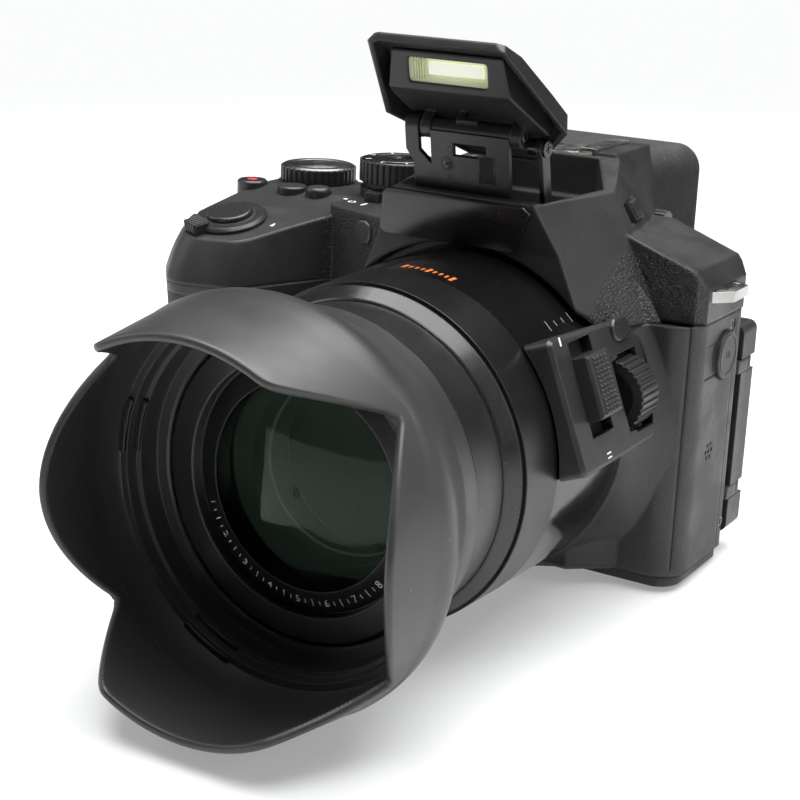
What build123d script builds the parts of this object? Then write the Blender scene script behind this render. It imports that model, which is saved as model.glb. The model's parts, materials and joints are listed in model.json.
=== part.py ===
from build123d import *
import os
from math import atan2, cos, degrees, hypot, radians, sin, tan

os.makedirs("parts", exist_ok=True)

# A bridge camera with its flash popped up and a petal hood on the lens.
# Z is up, the lens looks along -Y, +X is the camera's left-hand side, and the origin is the mouth
# of the tripod socket, in the middle of the base. "Forward" values are measured along -Y.

# Driving dimensions of the body
lens_axis_height = 36.6
port_side = 47.0
grip_join = 60.0
grip_width = 23.6
grip_reach = grip_join + grip_width
rear_face = 19.5
cover_split = 14.0
front_wall = 9.5
lens_wall = 17.0
base_thickness = 2.4
seam_height = 58.7
seam_tilt = 1.75
deck_height = 75.0
shoe_deck = 91.0
wall = 2.0

# Driving dimensions of the lens
barrel_radius = 36.4
barrel_back = 20.9
barrel_seam = 49.9
ring_front = 66.0
tube_radius = 31.9
tube_front = 86.8
filter_radius = 26.0
glass_radius = 20.9

# Clearances shared by every fit
running_gap = 0.05
seat_gap = 0.1
soft_gap = 0.3
overrun = 2.0
full_turn = 360

lens_axis = Axis((0, 0, lens_axis_height), (0, -1, 0))
lens_section = Plane(origin=(0, 0, lens_axis_height), x_dir=(0, -1, 0), z_dir=(-1, 0, 0))
seam_plane = Plane(origin=(0, 0, seam_height), z_dir=(-sin(radians(seam_tilt)), 0, cos(radians(seam_tilt))))


def lens_plane(forward):
    """Return the plane across the lens axis, facing forward."""
    return Plane(origin=(0, -forward, lens_axis_height), x_dir=(1, 0, 0), z_dir=(0, -1, 0))


def turned(profile, mode=Mode.ADD, arc=full_turn):
    """Turn a closed outline of (forward, radius) points about the lens axis."""
    with BuildSketch(lens_section) as section:
        with BuildLine():
            Polyline(*profile, close=True)
        make_face()
    revolve(section.sketch, axis=lens_axis, revolution_arc=arc, mode=mode)


def dome_arc(edge, apex):
    """Return the arc of a lens surface from its edge point to its apex on the axis."""
    sag = apex - edge[0]
    radius = (edge[1] ** 2 + sag**2) / (2 * sag)
    half_angle = atan2(edge[1], radius - sag) / 2
    middle = (apex - radius + radius * cos(half_angle), radius * sin(half_angle))
    return ThreePointArc(edge, middle, (apex, 0))


def prism(points, plane, amount, mode=Mode.ADD, corners=0, taper=0):
    """Extrude the closed outline through the points, with its corners rounded."""
    with BuildSketch(plane) as outline:
        with BuildLine():
            Polyline(*points, close=True)
        make_face()
        if corners:
            fillet(outline.vertices(), corners)
    extrude(outline.sketch, amount=amount, taper=taper, mode=mode)


def slab(x_span, y_span, z_span, mode=Mode.ADD):
    """Add or cut the block between three pairs of planes."""
    centre = tuple((low + high) / 2 for low, high in (x_span, y_span, z_span))
    with Locations(centre):
        Box(x_span[1] - x_span[0], y_span[1] - y_span[0], z_span[1] - z_span[0], mode=mode)


def disc(plane, radius, amount, mode=Mode.ADD, bore=0, centre=(0, 0)):
    """Extrude a round, or a ring with a bore, from a plane."""
    with BuildSketch(plane) as outline:
        with Locations(centre):
            Circle(radius)
            if bore:
                Circle(bore, mode=Mode.SUBTRACT)
    extrude(outline.sketch, amount=amount, mode=mode)


def knurled(plane, radius, amount, ribs, rib_depth):
    """Extrude a round grip with evenly spaced grooves."""
    with BuildSketch(plane) as outline:
        Circle(radius)
        with PolarLocations(radius, ribs):
            Circle(rib_depth, mode=Mode.SUBTRACT)
    extrude(outline.sketch, amount=amount)


# Forms of the body, which the covers share

# Trunk of the body, without the grip
lamp_edge = 46.0
hump_root = 24.0
shoulder_root = 33.0
port_front_radius = 7.0
port_rear_radius = 3.5
trunk_top = 57.0
core_outline = (
    (-grip_join, -front_wall),
    (-lamp_edge, -front_wall),
    (-hump_root, -lens_wall),
    (hump_root, -lens_wall),
    (shoulder_root, -front_wall),
    (port_side, -front_wall),
    (port_side, rear_face),
    (-grip_join, rear_face),
)
with BuildPart() as core_form:
    with BuildSketch(Plane.XY.offset(base_thickness)) as core_plan:
        with BuildLine():
            Polyline(*core_outline, close=True)
        make_face()
        fillet(core_plan.vertices().group_by(Axis.X)[-1].sort_by(Axis.Y)[0], port_front_radius)
        fillet(core_plan.vertices().group_by(Axis.X)[-1].sort_by(Axis.Y)[-1], port_rear_radius)
    extrude(amount=seam_height + overrun - base_thickness)
    chamfer(core_form.faces().sort_by(Axis.Z)[0].edges(), wall / 2)

# Starboard deck: the strip beside the grip slopes down with the plateau of the shutter button
deck_inner = 20.0
plateau_start = 1.0
plateau_slope = 14.0
plateau_plane = Plane(
    origin=(0, plateau_start, deck_height),
    x_dir=(1, 0, 0),
    z_dir=(0, -sin(radians(plateau_slope)), cos(radians(plateau_slope))),
)
outer_deck_outline = (
    (-grip_join, -front_wall),
    (-lamp_edge, -front_wall),
    (-lamp_edge, rear_face),
    (-grip_join, rear_face),
)
inner_deck_outline = (
    (-lamp_edge, -front_wall),
    (-hump_root, -lens_wall),
    (deck_inner, -lens_wall),
    (deck_inner, rear_face),
    (-lamp_edge, rear_face),
)
with BuildPart() as deck_form:
    prism(outer_deck_outline, Plane.XY.offset(trunk_top), deck_height - trunk_top)
    split(bisect_by=plateau_plane, keep=Keep.BOTTOM)
    prism(inner_deck_outline, Plane.XY.offset(trunk_top), deck_height - trunk_top)

# Hand grip: widest at the seam, drawn in below and rounded over above it
grip_front = 35.5
grip_bend = 24.0
nose_inset = 9.6
nose_outer = grip_reach - nose_inset
nose_inner = 57.0
grip_root = 45.0
grip_rear = rear_face
grip_corner = 8.0
grip_foot_inset = 3.5
grip_waist = 66.0
grip_waist_inset = 3.2
grip_crown = 79.0
grip_crown_inset = 13.5
grip_crown_corner = 4.0


def grip_outline(inset):
    """Return the grip's plan, drawn in from its free sides."""
    return (
        (-grip_reach + inset, grip_rear),
        (-grip_reach + inset, -grip_bend + inset / 2),
        (-nose_outer + inset / 2, -grip_front + inset),
        (-nose_inner, -grip_front + wall + inset),
        (-grip_root, -front_wall),
        (-grip_root, grip_rear),
    )


def grip_section(height, inset, corner):
    """Draw the grip's plan at a height, its free corners rounded."""
    with BuildSketch(Plane.XY.offset(height)) as section:
        with BuildLine():
            Polyline(*grip_outline(inset), close=True)
        make_face()
        free_corners = section.vertices().sort_by(Axis.X)[:4]
        fillet(free_corners, corner)
    return section.sketch


with BuildPart() as grip_form:
    loft([grip_section(base_thickness, grip_foot_inset, grip_corner), grip_section(trunk_top, 0, grip_corner)])
    loft(
        [
            grip_section(trunk_top, 0, grip_corner),
            grip_section(grip_waist, grip_waist_inset, grip_corner),
            grip_section(grip_crown, grip_crown_inset, grip_crown_corner),
        ]
    )
    split(bisect_by=Plane.XY.offset(deck_height), keep=Keep.BOTTOM)
    split(bisect_by=plateau_plane, keep=Keep.BOTTOM)
    chamfer(grip_form.faces().sort_by(Axis.Z)[0].edges(), wall / 2)

# Hump over the lens, which holds the flash, the shoe and the viewfinder
hump_front = 32.0
plate_foot_front = 26.6
plate_top_front = 29.3
plate_top = 85.5
rim_mid = 86.1
rim_drop = 1.0
rim_back = shoe_deck - rim_drop
hump_mid = 4.5
hump_back = 14.0
finder_back = 33.0
hump_crown = 92.0
foot_halves = (28.6, 34.0, 30.0, 22.0)
port_foot_halves = (28.6, 40.0, 40.0, 22.0)
crown_halves = (13.5, 20.5, 14.6, 14.6)
shoe_front = 13.3
hump_stations = (-hump_front, -hump_mid, hump_back, finder_back)


def hump_section(height, starboard_halves, port_halves):
    """Draw the hump's plan at a height, from its half widths at the four stations."""
    starboard = [(-half, station) for half, station in zip(starboard_halves, hump_stations)]
    port = [(half, station) for half, station in zip(port_halves, hump_stations)]
    with BuildSketch(Plane.XY.offset(height)) as section:
        with BuildLine():
            Polyline(*starboard, *port[::-1], close=True)
        make_face()
    return section.sketch


hump_profile = (
    (-plate_foot_front + overrun, trunk_top),
    (-plate_foot_front, trunk_top + overrun),
    (-plate_foot_front, deck_height),
    (-plate_top_front, plate_top),
    (-hump_mid, rim_mid),
    (shoe_front, rim_back),
    (shoe_front, shoe_deck),
    (finder_back, shoe_deck),
    (finder_back, trunk_top),
)
with BuildPart() as hump_form:
    loft(
        [
            hump_section(trunk_top - overrun, foot_halves, port_foot_halves),
            hump_section(hump_crown, crown_halves, crown_halves),
        ],
        ruled=True,
    )
    prism(hump_profile, Plane.YZ.offset(-grip_reach), 2 * grip_reach, mode=Mode.INTERSECT)

# Port shoulder, which slopes down to the strap lug
shoulder_front = 6.0
shoulder_crest = 77.3
shoulder_crest_x = 28.0
shoulder_drop = 71.5
shoulder_drop_x = 44.0
shoulder_edge = 67.5
shoulder_inner = 10.0
with BuildPart() as shoulder_form:
    shoulder_outline = (
        (shoulder_inner, trunk_top),
        (shoulder_inner, shoulder_crest),
        (shoulder_crest_x, shoulder_crest),
        (shoulder_drop_x, shoulder_drop),
        (port_side, shoulder_edge),
        (port_side, trunk_top),
    )
    prism(shoulder_outline, Plane.XZ.offset(shoulder_front), -(shoulder_front + rear_face))
    chamfer(shoulder_form.edges().filter_by(Axis.Z).group_by(Axis.X)[-1], wall)

# Collar that flares from the body to the barrel
collar_back = 8.0
collar_outer = 45.0
collar_lip = barrel_radius + 0.8 * wall / 2
flange_radius = 31.5
table_gap = 0.4
with BuildPart() as collar_form:
    with BuildSketch(lens_section) as collar_section:
        with BuildLine():
            collar_rise = Line((collar_back, flange_radius), (collar_back, collar_outer))
            collar_flare = RadiusArc(collar_rise @ 1, (barrel_back - seat_gap, collar_lip), -2 * collar_back)
            Polyline(collar_flare @ 1, (barrel_back - seat_gap, flange_radius), (collar_back, flange_radius))
        make_face()
    revolve(collar_section.sketch, axis=lens_axis)
    split(bisect_by=Plane.XY.offset(table_gap), keep=Keep.TOP)

# Side pod, which lies on the barrel with its face turned up from the horizontal
pod_turn = 21.0
pod_front = 50.5
pod_rear = 12.0
pod_rear_corner = 17.0
pod_low = 14.3
pod_high = 14.0
pod_waist = 6.5
pod_floor = 37.3
pod_face = 40.5
dial_depth = 35.8
dial_down = 3.0
dial_radius = 8.0
dial_back = 16.0
dial_front = 24.0
dial_space = 0.4
axle_radius = 1.0
axle_reach = 1.8
pod_normal = (cos(radians(pod_turn)), 0, sin(radians(pod_turn)))
pod_outline = (
    (pod_front, -pod_high),
    (pod_front, pod_low),
    (pod_rear_corner, pod_low),
    (pod_rear, pod_waist),
    (pod_rear, -pod_waist),
    (pod_rear_corner, -pod_high + wall),
)


def pod_plane(distance):
    """Return the pod's plane: X runs forward, Y runs down, and the normal points out."""
    origin = (pod_normal[0] * distance, 0, lens_axis_height + pod_normal[2] * distance)
    return Plane(origin=origin, x_dir=(0, -1, 0), z_dir=pod_normal)


def pod_point(distance, down, forward):
    """Return the point at a distance out, down and forward in the pod's plane."""
    return (
        pod_normal[0] * distance + pod_normal[2] * down,
        -forward,
        lens_axis_height + pod_normal[2] * distance - pod_normal[0] * down,
    )


def pod_cross_plane(distance, down, forward):
    """Return the plane across the lens axis through a point of the pod, facing forward."""
    return Plane(origin=pod_point(distance, down, forward), x_dir=(1, 0, 0), z_dir=(0, -1, 0))


def cut_pod_seat():
    """Cut the recess that lets the pod into the collar and the covers."""
    with BuildSketch(pod_plane(pod_floor - seat_gap)) as seat:
        with BuildLine():
            Polyline(*pod_outline, close=True)
        make_face()
        offset(amount=seat_gap)
    extrude(seat.sketch, amount=pod_high, mode=Mode.SUBTRACT)


def cut_dial_space():
    """Cut the deep pocket that the side dial turns in, and the seats of its axle."""
    low = dial_down - dial_radius - dial_space
    high = dial_down + dial_radius + dial_space
    pocket = (
        (dial_back - dial_space, low),
        (dial_front + dial_space, low),
        (dial_front + dial_space, high),
        (dial_back - dial_space, high),
    )
    prism(pocket, pod_plane(dial_depth - dial_radius - dial_space), 2 * dial_radius, mode=Mode.SUBTRACT)
    disc(
        pod_cross_plane(dial_depth, dial_down, dial_back - axle_reach),
        axle_radius + running_gap,
        dial_front - dial_back + 2 * axle_reach,
        mode=Mode.SUBTRACT,
    )


# Flash mechanism, laid out in the plane across the hump: (y, z) of each pivot
arm_pivot = (-21.6, 79.2)
head_pivot_open = (-25.0, 98.6)
head_pivot_closed = (-3.0, 85.7)
head_tilt = 45.0
well_floor = 75.2
well_ledge = 80.5
well_half = 17.5
well_mid_half = 21.0
well_rear_half = 11.5
well_front = 26.2
well_back = 12.6
well_step = 1.6


def well_outline(inset):
    """Return the flash well's plan, drawn in from its rim."""
    starboard = (
        (-well_half + inset, -well_front + inset),
        (-well_mid_half + inset, -hump_mid),
        (-well_rear_half + inset, well_back - inset),
    )
    return starboard + tuple((-x, y) for x, y in starboard[::-1])


bracket_half = 11.0
pin_radius = 1.1
pivot_barrel = 2.2
boss_thickness = 2.6
boss_half = 2.4
link_pivot = (-17.68, 77.05)
link_pin_local = (3.25, 0.14)
link_inner = 14.4
link_outer = 15.6
link_half_width = 1.6
link_boss = 1.5
stud_radius = 0.8
screw_radius = 1.9
screw_height = 0.6


def across(point, start):
    """Return the plane across the camera through a (y, z) point, facing port."""
    return Plane(origin=(start, point[0], point[1]), x_dir=(0, 1, 0), z_dir=(1, 0, 0))


boss_profile = (
    (arm_pivot[0] - boss_half, well_floor - seat_gap),
    (arm_pivot[0] - boss_half, arm_pivot[1] + pin_radius),
    (arm_pivot[0] - pin_radius, arm_pivot[1] + boss_half),
    (arm_pivot[0] + pin_radius, arm_pivot[1] + boss_half),
    (arm_pivot[0] + boss_half, arm_pivot[1] + pin_radius),
    (arm_pivot[0] + boss_half, well_floor - seat_gap),
)

# Controls on the deck
mode_dial_centre = (-39.5, 10.0)
rear_dial_inset = 18.1
rear_dial_centre = (rear_dial_inset - grip_reach, 14.0)
dial_ledge = 7.0
dial_ledge_radius = 10.0
movie_inset = 8.0
movie_centre = (movie_inset - grip_reach, 0.0)
movie_radius = 3.7
function_centre = (-63.6, 0.0)
function_radius = 3.6
burst_centre = (-55.9, 0.0)
burst_radius = 3.1
round_buttons = (
    (movie_centre, movie_radius),
    (function_centre, function_radius),
    (burst_centre, burst_radius),
)
button_pocket = 3.0
shutter_inset = 16.6
shutter_centre = (shutter_inset - grip_reach, -20.0)
shutter_radius = 5.3
collar_seat_radius = 6.0
collar_seat_height = 1.4
shutter_drop = (plateau_start - shutter_centre[1]) * tan(radians(plateau_slope))
shutter_plane = Plane(
    origin=(shutter_centre[0], shutter_centre[1], deck_height - shutter_drop),
    x_dir=(1, 0, 0),
    z_dir=plateau_plane.z_dir,
)
lamp_radius = 2.8
lamp_depth = 2.0
lamp_drop = 4.5
lamp_height = deck_height - lamp_drop
lamp_share = 0.55
lamp_wall = (lamp_edge - hump_root, front_wall - lens_wall)
lamp_plane = Plane(
    origin=(
        -lamp_edge + lamp_share * lamp_wall[0],
        -front_wall + lamp_share * lamp_wall[1],
        lamp_height,
    ),
    x_dir=(lamp_wall[0], lamp_wall[1], 0),
    z_dir=(lamp_wall[1], -lamp_wall[0], 0),
)

# Slider that opens the flash, on the hump's port slope
switch_half_length = 3.4
switch_half_width = 2.2
switch_travel = 2.0
switch_depth = 2.4
switch_centre_y = 4.2
switch_drop = 4.7
switch_height = plate_top - switch_drop


def hump_half(height, station):
    """Return the hump's port half width at a height, between its two middle stations."""
    share = (station + hump_mid) / (hump_back + hump_mid)
    foot = port_foot_halves[1] + share * (port_foot_halves[2] - port_foot_halves[1])
    crown = crown_halves[1] + share * (crown_halves[2] - crown_halves[1])
    rise = (height - trunk_top + overrun) / (hump_crown - trunk_top + overrun)
    return foot + rise * (crown - foot)


switch_x = hump_half(switch_height, switch_centre_y)
switch_lean = switch_x - hump_half(switch_height + 1, switch_centre_y)
switch_run = switch_x - hump_half(switch_height, switch_centre_y + 1)
switch_plane = Plane(
    origin=(switch_x, switch_centre_y, switch_height),
    x_dir=(-switch_run, 1, 0),
    z_dir=(1, switch_run, switch_lean),
)


def switch_outline(extra):
    """Return the slider's outline, or its slot's, longer by the extra at each end."""
    half = switch_half_length + extra
    side = switch_half_width + (seat_gap if extra else 0)
    return ((-half, -side), (half, -side), (half, side), (-half, side))


# Eyepiece in the back of the viewfinder
eyepiece_drop = 15.0
eyepiece_height = shoe_deck - eyepiece_drop
eyepiece_radius = 10.0
eyepiece_depth = 6.0

# Accessory shoe
shoe_half = 10.5
shoe_sink = 2.5
shoe_floor = shoe_deck - shoe_sink
shoe_back = 31.8

# Base: tripod socket, battery bay and its door
socket_radius = 5.0
socket_bore = 3.175
socket_height = 4.7
battery_size = (18.0, 35.0, 44.0)
battery_inset = 18.1
battery_centre = (battery_inset - grip_reach, -7.0)
bay_gap = 0.4
door_gap = 0.2

# Rubber skin of the grip and the terminal door in its side, let into the grip
rubber_thickness = 1.2
rubber_low = 6.0
rubber_high = 54.0
rubber_side_end = -3.0
rubber_inner = 50.0
terminal_thickness = 1.4
terminal_front = 0.5
terminal_rear = 10.5
terminal_low = 18.0
terminal_high = 44.0


def grip_core(inset):
    """Loft the grip below the seam again, drawn in all over by an inset."""
    loft(
        [
            grip_section(base_thickness, grip_foot_inset + inset, grip_corner),
            grip_section(trunk_top, inset, grip_corner),
        ],
        mode=Mode.SUBTRACT,
    )


with BuildPart() as rubber_form:
    add(grip_form.part)
    slab((-grip_reach - overrun, -rubber_inner), (-grip_front - overrun, rubber_side_end), (rubber_low, rubber_high),
         mode=Mode.INTERSECT)
    grip_core(rubber_thickness)
with BuildPart() as terminal_form:
    add(grip_form.part)
    slab((-grip_reach - overrun, -grip_reach + grip_corner), (terminal_front, terminal_rear),
         (terminal_low, terminal_high), mode=Mode.INTERSECT)
    grip_core(terminal_thickness)

# Flap of the microphone socket, on the port side
mic_centre = (8.2, 51.2)
mic_radius = 5.4
mic_seat_depth = 1.0
mic_tab_front = -2.2
mic_tab_half = 3.6


def mic_outline(gap):
    """Draw the flap's outline, widened by a gap."""
    with BuildSketch(Plane.YZ.offset(port_side - mic_seat_depth)) as outline:
        with Locations(mic_centre):
            Circle(mic_radius + gap)
        with Locations(((mic_tab_front + mic_centre[0]) / 2, mic_centre[1])):
            Rectangle(mic_centre[0] - mic_tab_front + 2 * gap, 2 * (mic_tab_half + gap))
    return outline.sketch


# Strap lugs: outline beyond the side that carries them, as (out, back)
lug_root = 1.8
lug_reach = 3.4
lug_thickness = 2.4
lug_front = -2.0
lug_back = 12.0
lug_cover = 0.5
lug_height = shoulder_edge - lug_thickness - lug_cover
grip_lug_inset = 3.0
grip_lug_x = grip_reach - grip_lug_inset
grip_lug_rise = 4.7
grip_lug_height = seam_height + grip_lug_rise
lug_slot = 1.4

# Screws that close the case, as (y, z) on the port side and (x, y) in the base
case_screw_radius = 1.3
case_screw_length = 1.8
case_screw_sink = 0.2
side_screws = ((12.3, 57.2), (16.4, 9.3))
base_screws = ((40.0, 8.0), (-40.0, 8.0), (40.0, -4.0), (-46.0, -4.0))

# Controls on the back
pad_centre = (-54.0, 26.0)
pad_radius = 9.0
menu_centre = (-48.0, 11.0)
play_centre = (-48.0, 50.0)
back_button_radius = 3.0
back_buttons = (
    (pad_centre, pad_radius),
    (menu_centre, back_button_radius),
    (play_centre, back_button_radius),
)
back_pocket = 2.4
board_boss_radius = 2.5
board_thickness = 1.6
board_half_width = 40.0
board_low = 7.0
board_high = 54.0
boss_length = 1.5
board_bosses = ((-36.0, 11.0), (36.0, 11.0), (-36.0, 50.0), (36.0, 50.0))

# Swing hinge of the screen
screen_gap = 0.5
screen_thickness = 8.0
swing_x = 45.5
swing_y = rear_face + screen_gap + screen_thickness / 2
swing_pin = 1.2
knuckle_low = 17.0
knuckle_high = 44.0
lug_tall = 3.0
swing_lug_inner = 43.4
swing_lug_back = 25.8

# Dioptre dial in the port side of the viewfinder
dioptre_drop = 3.0
dioptre_centre = (28.0, eyepiece_height - dioptre_drop)
dioptre_radius = 4.0
dioptre_inner = 17.6
dioptre_outer = 22.8

# Front cover
cavity_port = port_side - wall
cavity_starboard = 43.0
floor_top = base_thickness + wall
speaker_centre = (4.0, 29.8)
speaker_pitch = 1.7
speaker_hole = 0.5
with BuildPart() as front_cover:
    add(core_form.part)
    add(grip_form.part)
    add(collar_form.part)
    split(bisect_by=seam_plane, keep=Keep.BOTTOM)
    split(bisect_by=Plane.XZ.offset(-cover_split), keep=Keep.TOP)
    slab((-cavity_starboard, cavity_port), (-front_wall + wall, cover_split + overrun), (floor_top, deck_height),
         mode=Mode.SUBTRACT)
    disc(lens_plane(-overrun), flange_radius + seat_gap, barrel_back + 2 * overrun, mode=Mode.SUBTRACT)
    bay = tuple(side / 2 + bay_gap for side in battery_size)
    slab(
        (battery_centre[0] - bay[0], battery_centre[0] + bay[0]),
        (battery_centre[1] - bay[1], battery_centre[1] + bay[1]),
        (0, base_thickness + battery_size[2] + 2 * bay_gap),
        mode=Mode.SUBTRACT,
    )
    cut_pod_seat()
    cut_dial_space()
    with Locations(Plane.YZ.offset(port_side)):
        with Locations(speaker_centre):
            with PolarLocations(speaker_pitch, 6):
                Hole(speaker_hole, depth=2 * wall)
            Hole(speaker_hole, depth=2 * wall)
    add(rubber_form.part, mode=Mode.SUBTRACT)
    add(terminal_form.part, mode=Mode.SUBTRACT)
    extrude(mic_outline(seat_gap), amount=mic_seat_depth + overrun, mode=Mode.SUBTRACT)
    disc(Plane.XY.offset(-overrun), socket_radius + seat_gap, floor_top + 2 * overrun, mode=Mode.SUBTRACT)
    disc(Plane.YZ.offset(port_side - case_screw_length - seat_gap), case_screw_radius + seat_gap,
         case_screw_length + overrun, mode=Mode.SUBTRACT, centre=side_screws[0])
front_cover.part.label = "front_cover"
export_step(front_cover.part, "parts/front_cover.step")

# Rear cover
thumb_inset = 13.6
thumb_centre = (thumb_inset - grip_reach, 44.0)
thumb_width = 20.0
thumb_height = 22.0
thumb_corner = 5.0
thumb_rise = 2.6
thumb_taper = 25
with BuildPart() as rear_cover:
    add(core_form.part)
    add(grip_form.part)
    split(bisect_by=seam_plane, keep=Keep.BOTTOM)
    split(bisect_by=Plane.XZ.offset(-cover_split), keep=Keep.BOTTOM)
    slab((-cavity_starboard, cavity_port), (cover_split - overrun, rear_face - wall), (floor_top, deck_height),
         mode=Mode.SUBTRACT)
    disc(Plane.YZ.offset(port_side - case_screw_length - seat_gap), case_screw_radius + seat_gap,
         case_screw_length + overrun, mode=Mode.SUBTRACT, centre=side_screws[1])
    for centre, radius in back_buttons:
        disc(Plane.XZ.offset(-rear_face + back_pocket), radius + running_gap, -back_pocket - overrun,
             mode=Mode.SUBTRACT, centre=centre)
    for centre in board_bosses:
        disc(Plane.XZ.offset(-rear_face + wall / 2), board_boss_radius, wall / 2 + boss_length, centre=centre)
    with BuildSketch(Plane.XZ.offset(-rear_face + wall / 2)) as thumb_plan:
        with Locations(thumb_centre):
            RectangleRounded(thumb_width, thumb_height, thumb_corner)
    extrude(thumb_plan.sketch, amount=-thumb_rise - wall / 2, taper=thumb_taper)
    for low in (knuckle_low - seat_gap - lug_tall, knuckle_high + seat_gap):
        slab((swing_lug_inner, port_side), (rear_face - wall / 2, swing_lug_back), (low, low + lug_tall))
        disc(Plane(origin=(swing_x, swing_y, low - seat_gap)), swing_pin + running_gap, lug_tall + 2 * seat_gap,
             mode=Mode.SUBTRACT)
rear_cover.part.label = "rear_cover"
export_step(rear_cover.part, "parts/rear_cover.step")

# Top cover
with BuildPart() as top_cover:
    add(deck_form.part)
    add(grip_form.part)
    add(hump_form.part)
    add(shoulder_form.part)
    add(collar_form.part)
    split(bisect_by=seam_plane, keep=Keep.TOP)
    slab((-cavity_starboard, shoulder_crest_x), (-front_wall + wall, rear_face - wall),
         (trunk_top - overrun, deck_height - wall), mode=Mode.SUBTRACT)
    slab((shoulder_crest_x - overrun, cavity_port), (-shoulder_front + wall, rear_face - wall),
         (trunk_top - overrun, shoulder_edge - wall), mode=Mode.SUBTRACT)
    disc(lens_plane(-overrun), flange_radius + seat_gap, barrel_back + 2 * overrun, mode=Mode.SUBTRACT)
    disc(lens_plane(barrel_back - seat_gap), barrel_radius + wall, 3 * lens_wall, mode=Mode.SUBTRACT)
    cut_pod_seat()
    prism(well_outline(well_step), Plane.XY.offset(well_floor), shoe_deck - well_floor, mode=Mode.SUBTRACT)
    prism(well_outline(0), Plane.XY.offset(well_ledge), shoe_deck - well_ledge + overrun, mode=Mode.SUBTRACT)
    slab((-shoe_half - seat_gap, shoe_half + seat_gap), (shoe_front, finder_back + overrun),
         (shoe_floor, shoe_deck + overrun), mode=Mode.SUBTRACT)
    for side in (-1, 1):
        boss_inner = side * (bracket_half + running_gap)
        boss_outer = side * (bracket_half + boss_thickness)
        prism(boss_profile, Plane.YZ.offset(min(boss_inner, boss_outer)), abs(boss_outer - boss_inner))
    disc(across(arm_pivot, -bracket_half - boss_thickness - seat_gap), pin_radius + running_gap,
         2 * (bracket_half + boss_thickness + seat_gap), mode=Mode.SUBTRACT)
    slab((bracket_half + boss_thickness - seat_gap, link_inner - running_gap),
         (link_pivot[0] - link_boss, link_pivot[0] + link_boss), (well_floor - seat_gap, link_pivot[1] + stud_radius))
    disc(across(link_pivot, link_inner - overrun), stud_radius, link_outer - link_inner + overrun + seat_gap)
    disc(across(link_pivot, link_outer + running_gap), screw_radius, screw_height)
    disc(Plane(origin=(rear_dial_centre[0], rear_dial_centre[1], deck_height - dial_ledge)), dial_ledge_radius,
         dial_ledge)
    for centre, radius in round_buttons:
        disc(Plane(origin=(centre[0], centre[1], deck_height - button_pocket)), radius + running_gap,
             button_pocket + overrun, mode=Mode.SUBTRACT)
    disc(shutter_plane, collar_seat_radius, collar_seat_height, bore=shutter_radius + running_gap)
    disc(shutter_plane.offset(-button_pocket), shutter_radius + running_gap, button_pocket + overrun,
         mode=Mode.SUBTRACT)
    disc(lamp_plane.offset(-lamp_depth), lamp_radius + running_gap, lamp_depth + overrun, mode=Mode.SUBTRACT)
    prism(switch_outline(seat_gap + switch_travel), switch_plane.offset(-switch_depth), switch_depth + overrun,
          mode=Mode.SUBTRACT)
    disc(Plane.XZ.offset(-finder_back + eyepiece_depth), eyepiece_radius + running_gap,
         -eyepiece_depth - overrun, mode=Mode.SUBTRACT, centre=(0, eyepiece_height))
    slab((port_side - lug_root - seat_gap, port_side + overrun), (lug_front - seat_gap, lug_back + seat_gap),
         (lug_height - seat_gap, lug_height + lug_thickness + seat_gap), mode=Mode.SUBTRACT)
    slab((-grip_reach - overrun, -grip_lug_x + lug_root + seat_gap), (lug_front - seat_gap, lug_back + seat_gap),
         (grip_lug_height - seat_gap, grip_lug_height + lug_thickness + seat_gap), mode=Mode.SUBTRACT)
    disc(Plane.YZ.offset(dioptre_inner - seat_gap), dioptre_radius + running_gap, dioptre_outer, mode=Mode.SUBTRACT,
         centre=dioptre_centre)
top_cover.part.label = "top_cover"
export_step(top_cover.part, "parts/top_cover.step")

# Lens barrel, fixed in the body, with a bulkhead behind the moving tubes
zoom_wall = 0.8
zoom_bore = tube_radius + running_gap
zoom_radius = zoom_bore + zoom_wall
barrel_bore = zoom_radius + running_gap
barrel_rear = -4.0
bulkhead_back = 13.5
bulkhead_front = 26.0
rear_bore = 29.5
iris_bore = 20.0
barrel_foot = 36.9
barrel_nose = 62.2
barrel_nose_radius = 36.0
ring_seat = 58.0
ring_sleeve = 33.9
with BuildPart() as lens_barrel:
    turned(
        (
            (barrel_rear, rear_bore),
            (barrel_rear, flange_radius),
            (barrel_back, flange_radius),
            (barrel_back, barrel_foot),
            (barrel_seam, barrel_radius),
            (barrel_nose, barrel_nose_radius),
            (barrel_nose, ring_sleeve),
            (ring_seat, ring_sleeve),
            (ring_seat, barrel_bore),
            (bulkhead_front, barrel_bore),
            (bulkhead_front, iris_bore),
            (bulkhead_back, iris_bore),
            (bulkhead_back, rear_bore),
        )
    )
    cut_dial_space()
lens_barrel.part.label = "lens_barrel"
export_step(lens_barrel.part, "parts/lens_barrel.step")

# Front ring of the barrel, with its groove and cone
groove_radius = 35.2
groove_front = 62.8
cone_back_radius = 35.3
cone_front = 65.6
cone_front_radius = 33.3
with BuildPart() as barrel_front_ring:
    turned(
        (
            (ring_seat + seat_gap, barrel_bore),
            (ring_seat + seat_gap, ring_sleeve - running_gap),
            (barrel_nose + running_gap, ring_sleeve - running_gap),
            (barrel_nose + running_gap, groove_radius),
            (groove_front, groove_radius),
            (groove_front, cone_back_radius),
            (cone_front, cone_front_radius),
            (ring_front, barrel_bore + running_gap),
            (ring_front, barrel_bore),
        )
    )
barrel_front_ring.part.label = "barrel_front_ring"
export_step(barrel_front_ring.part, "parts/barrel_front_ring.step")

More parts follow.
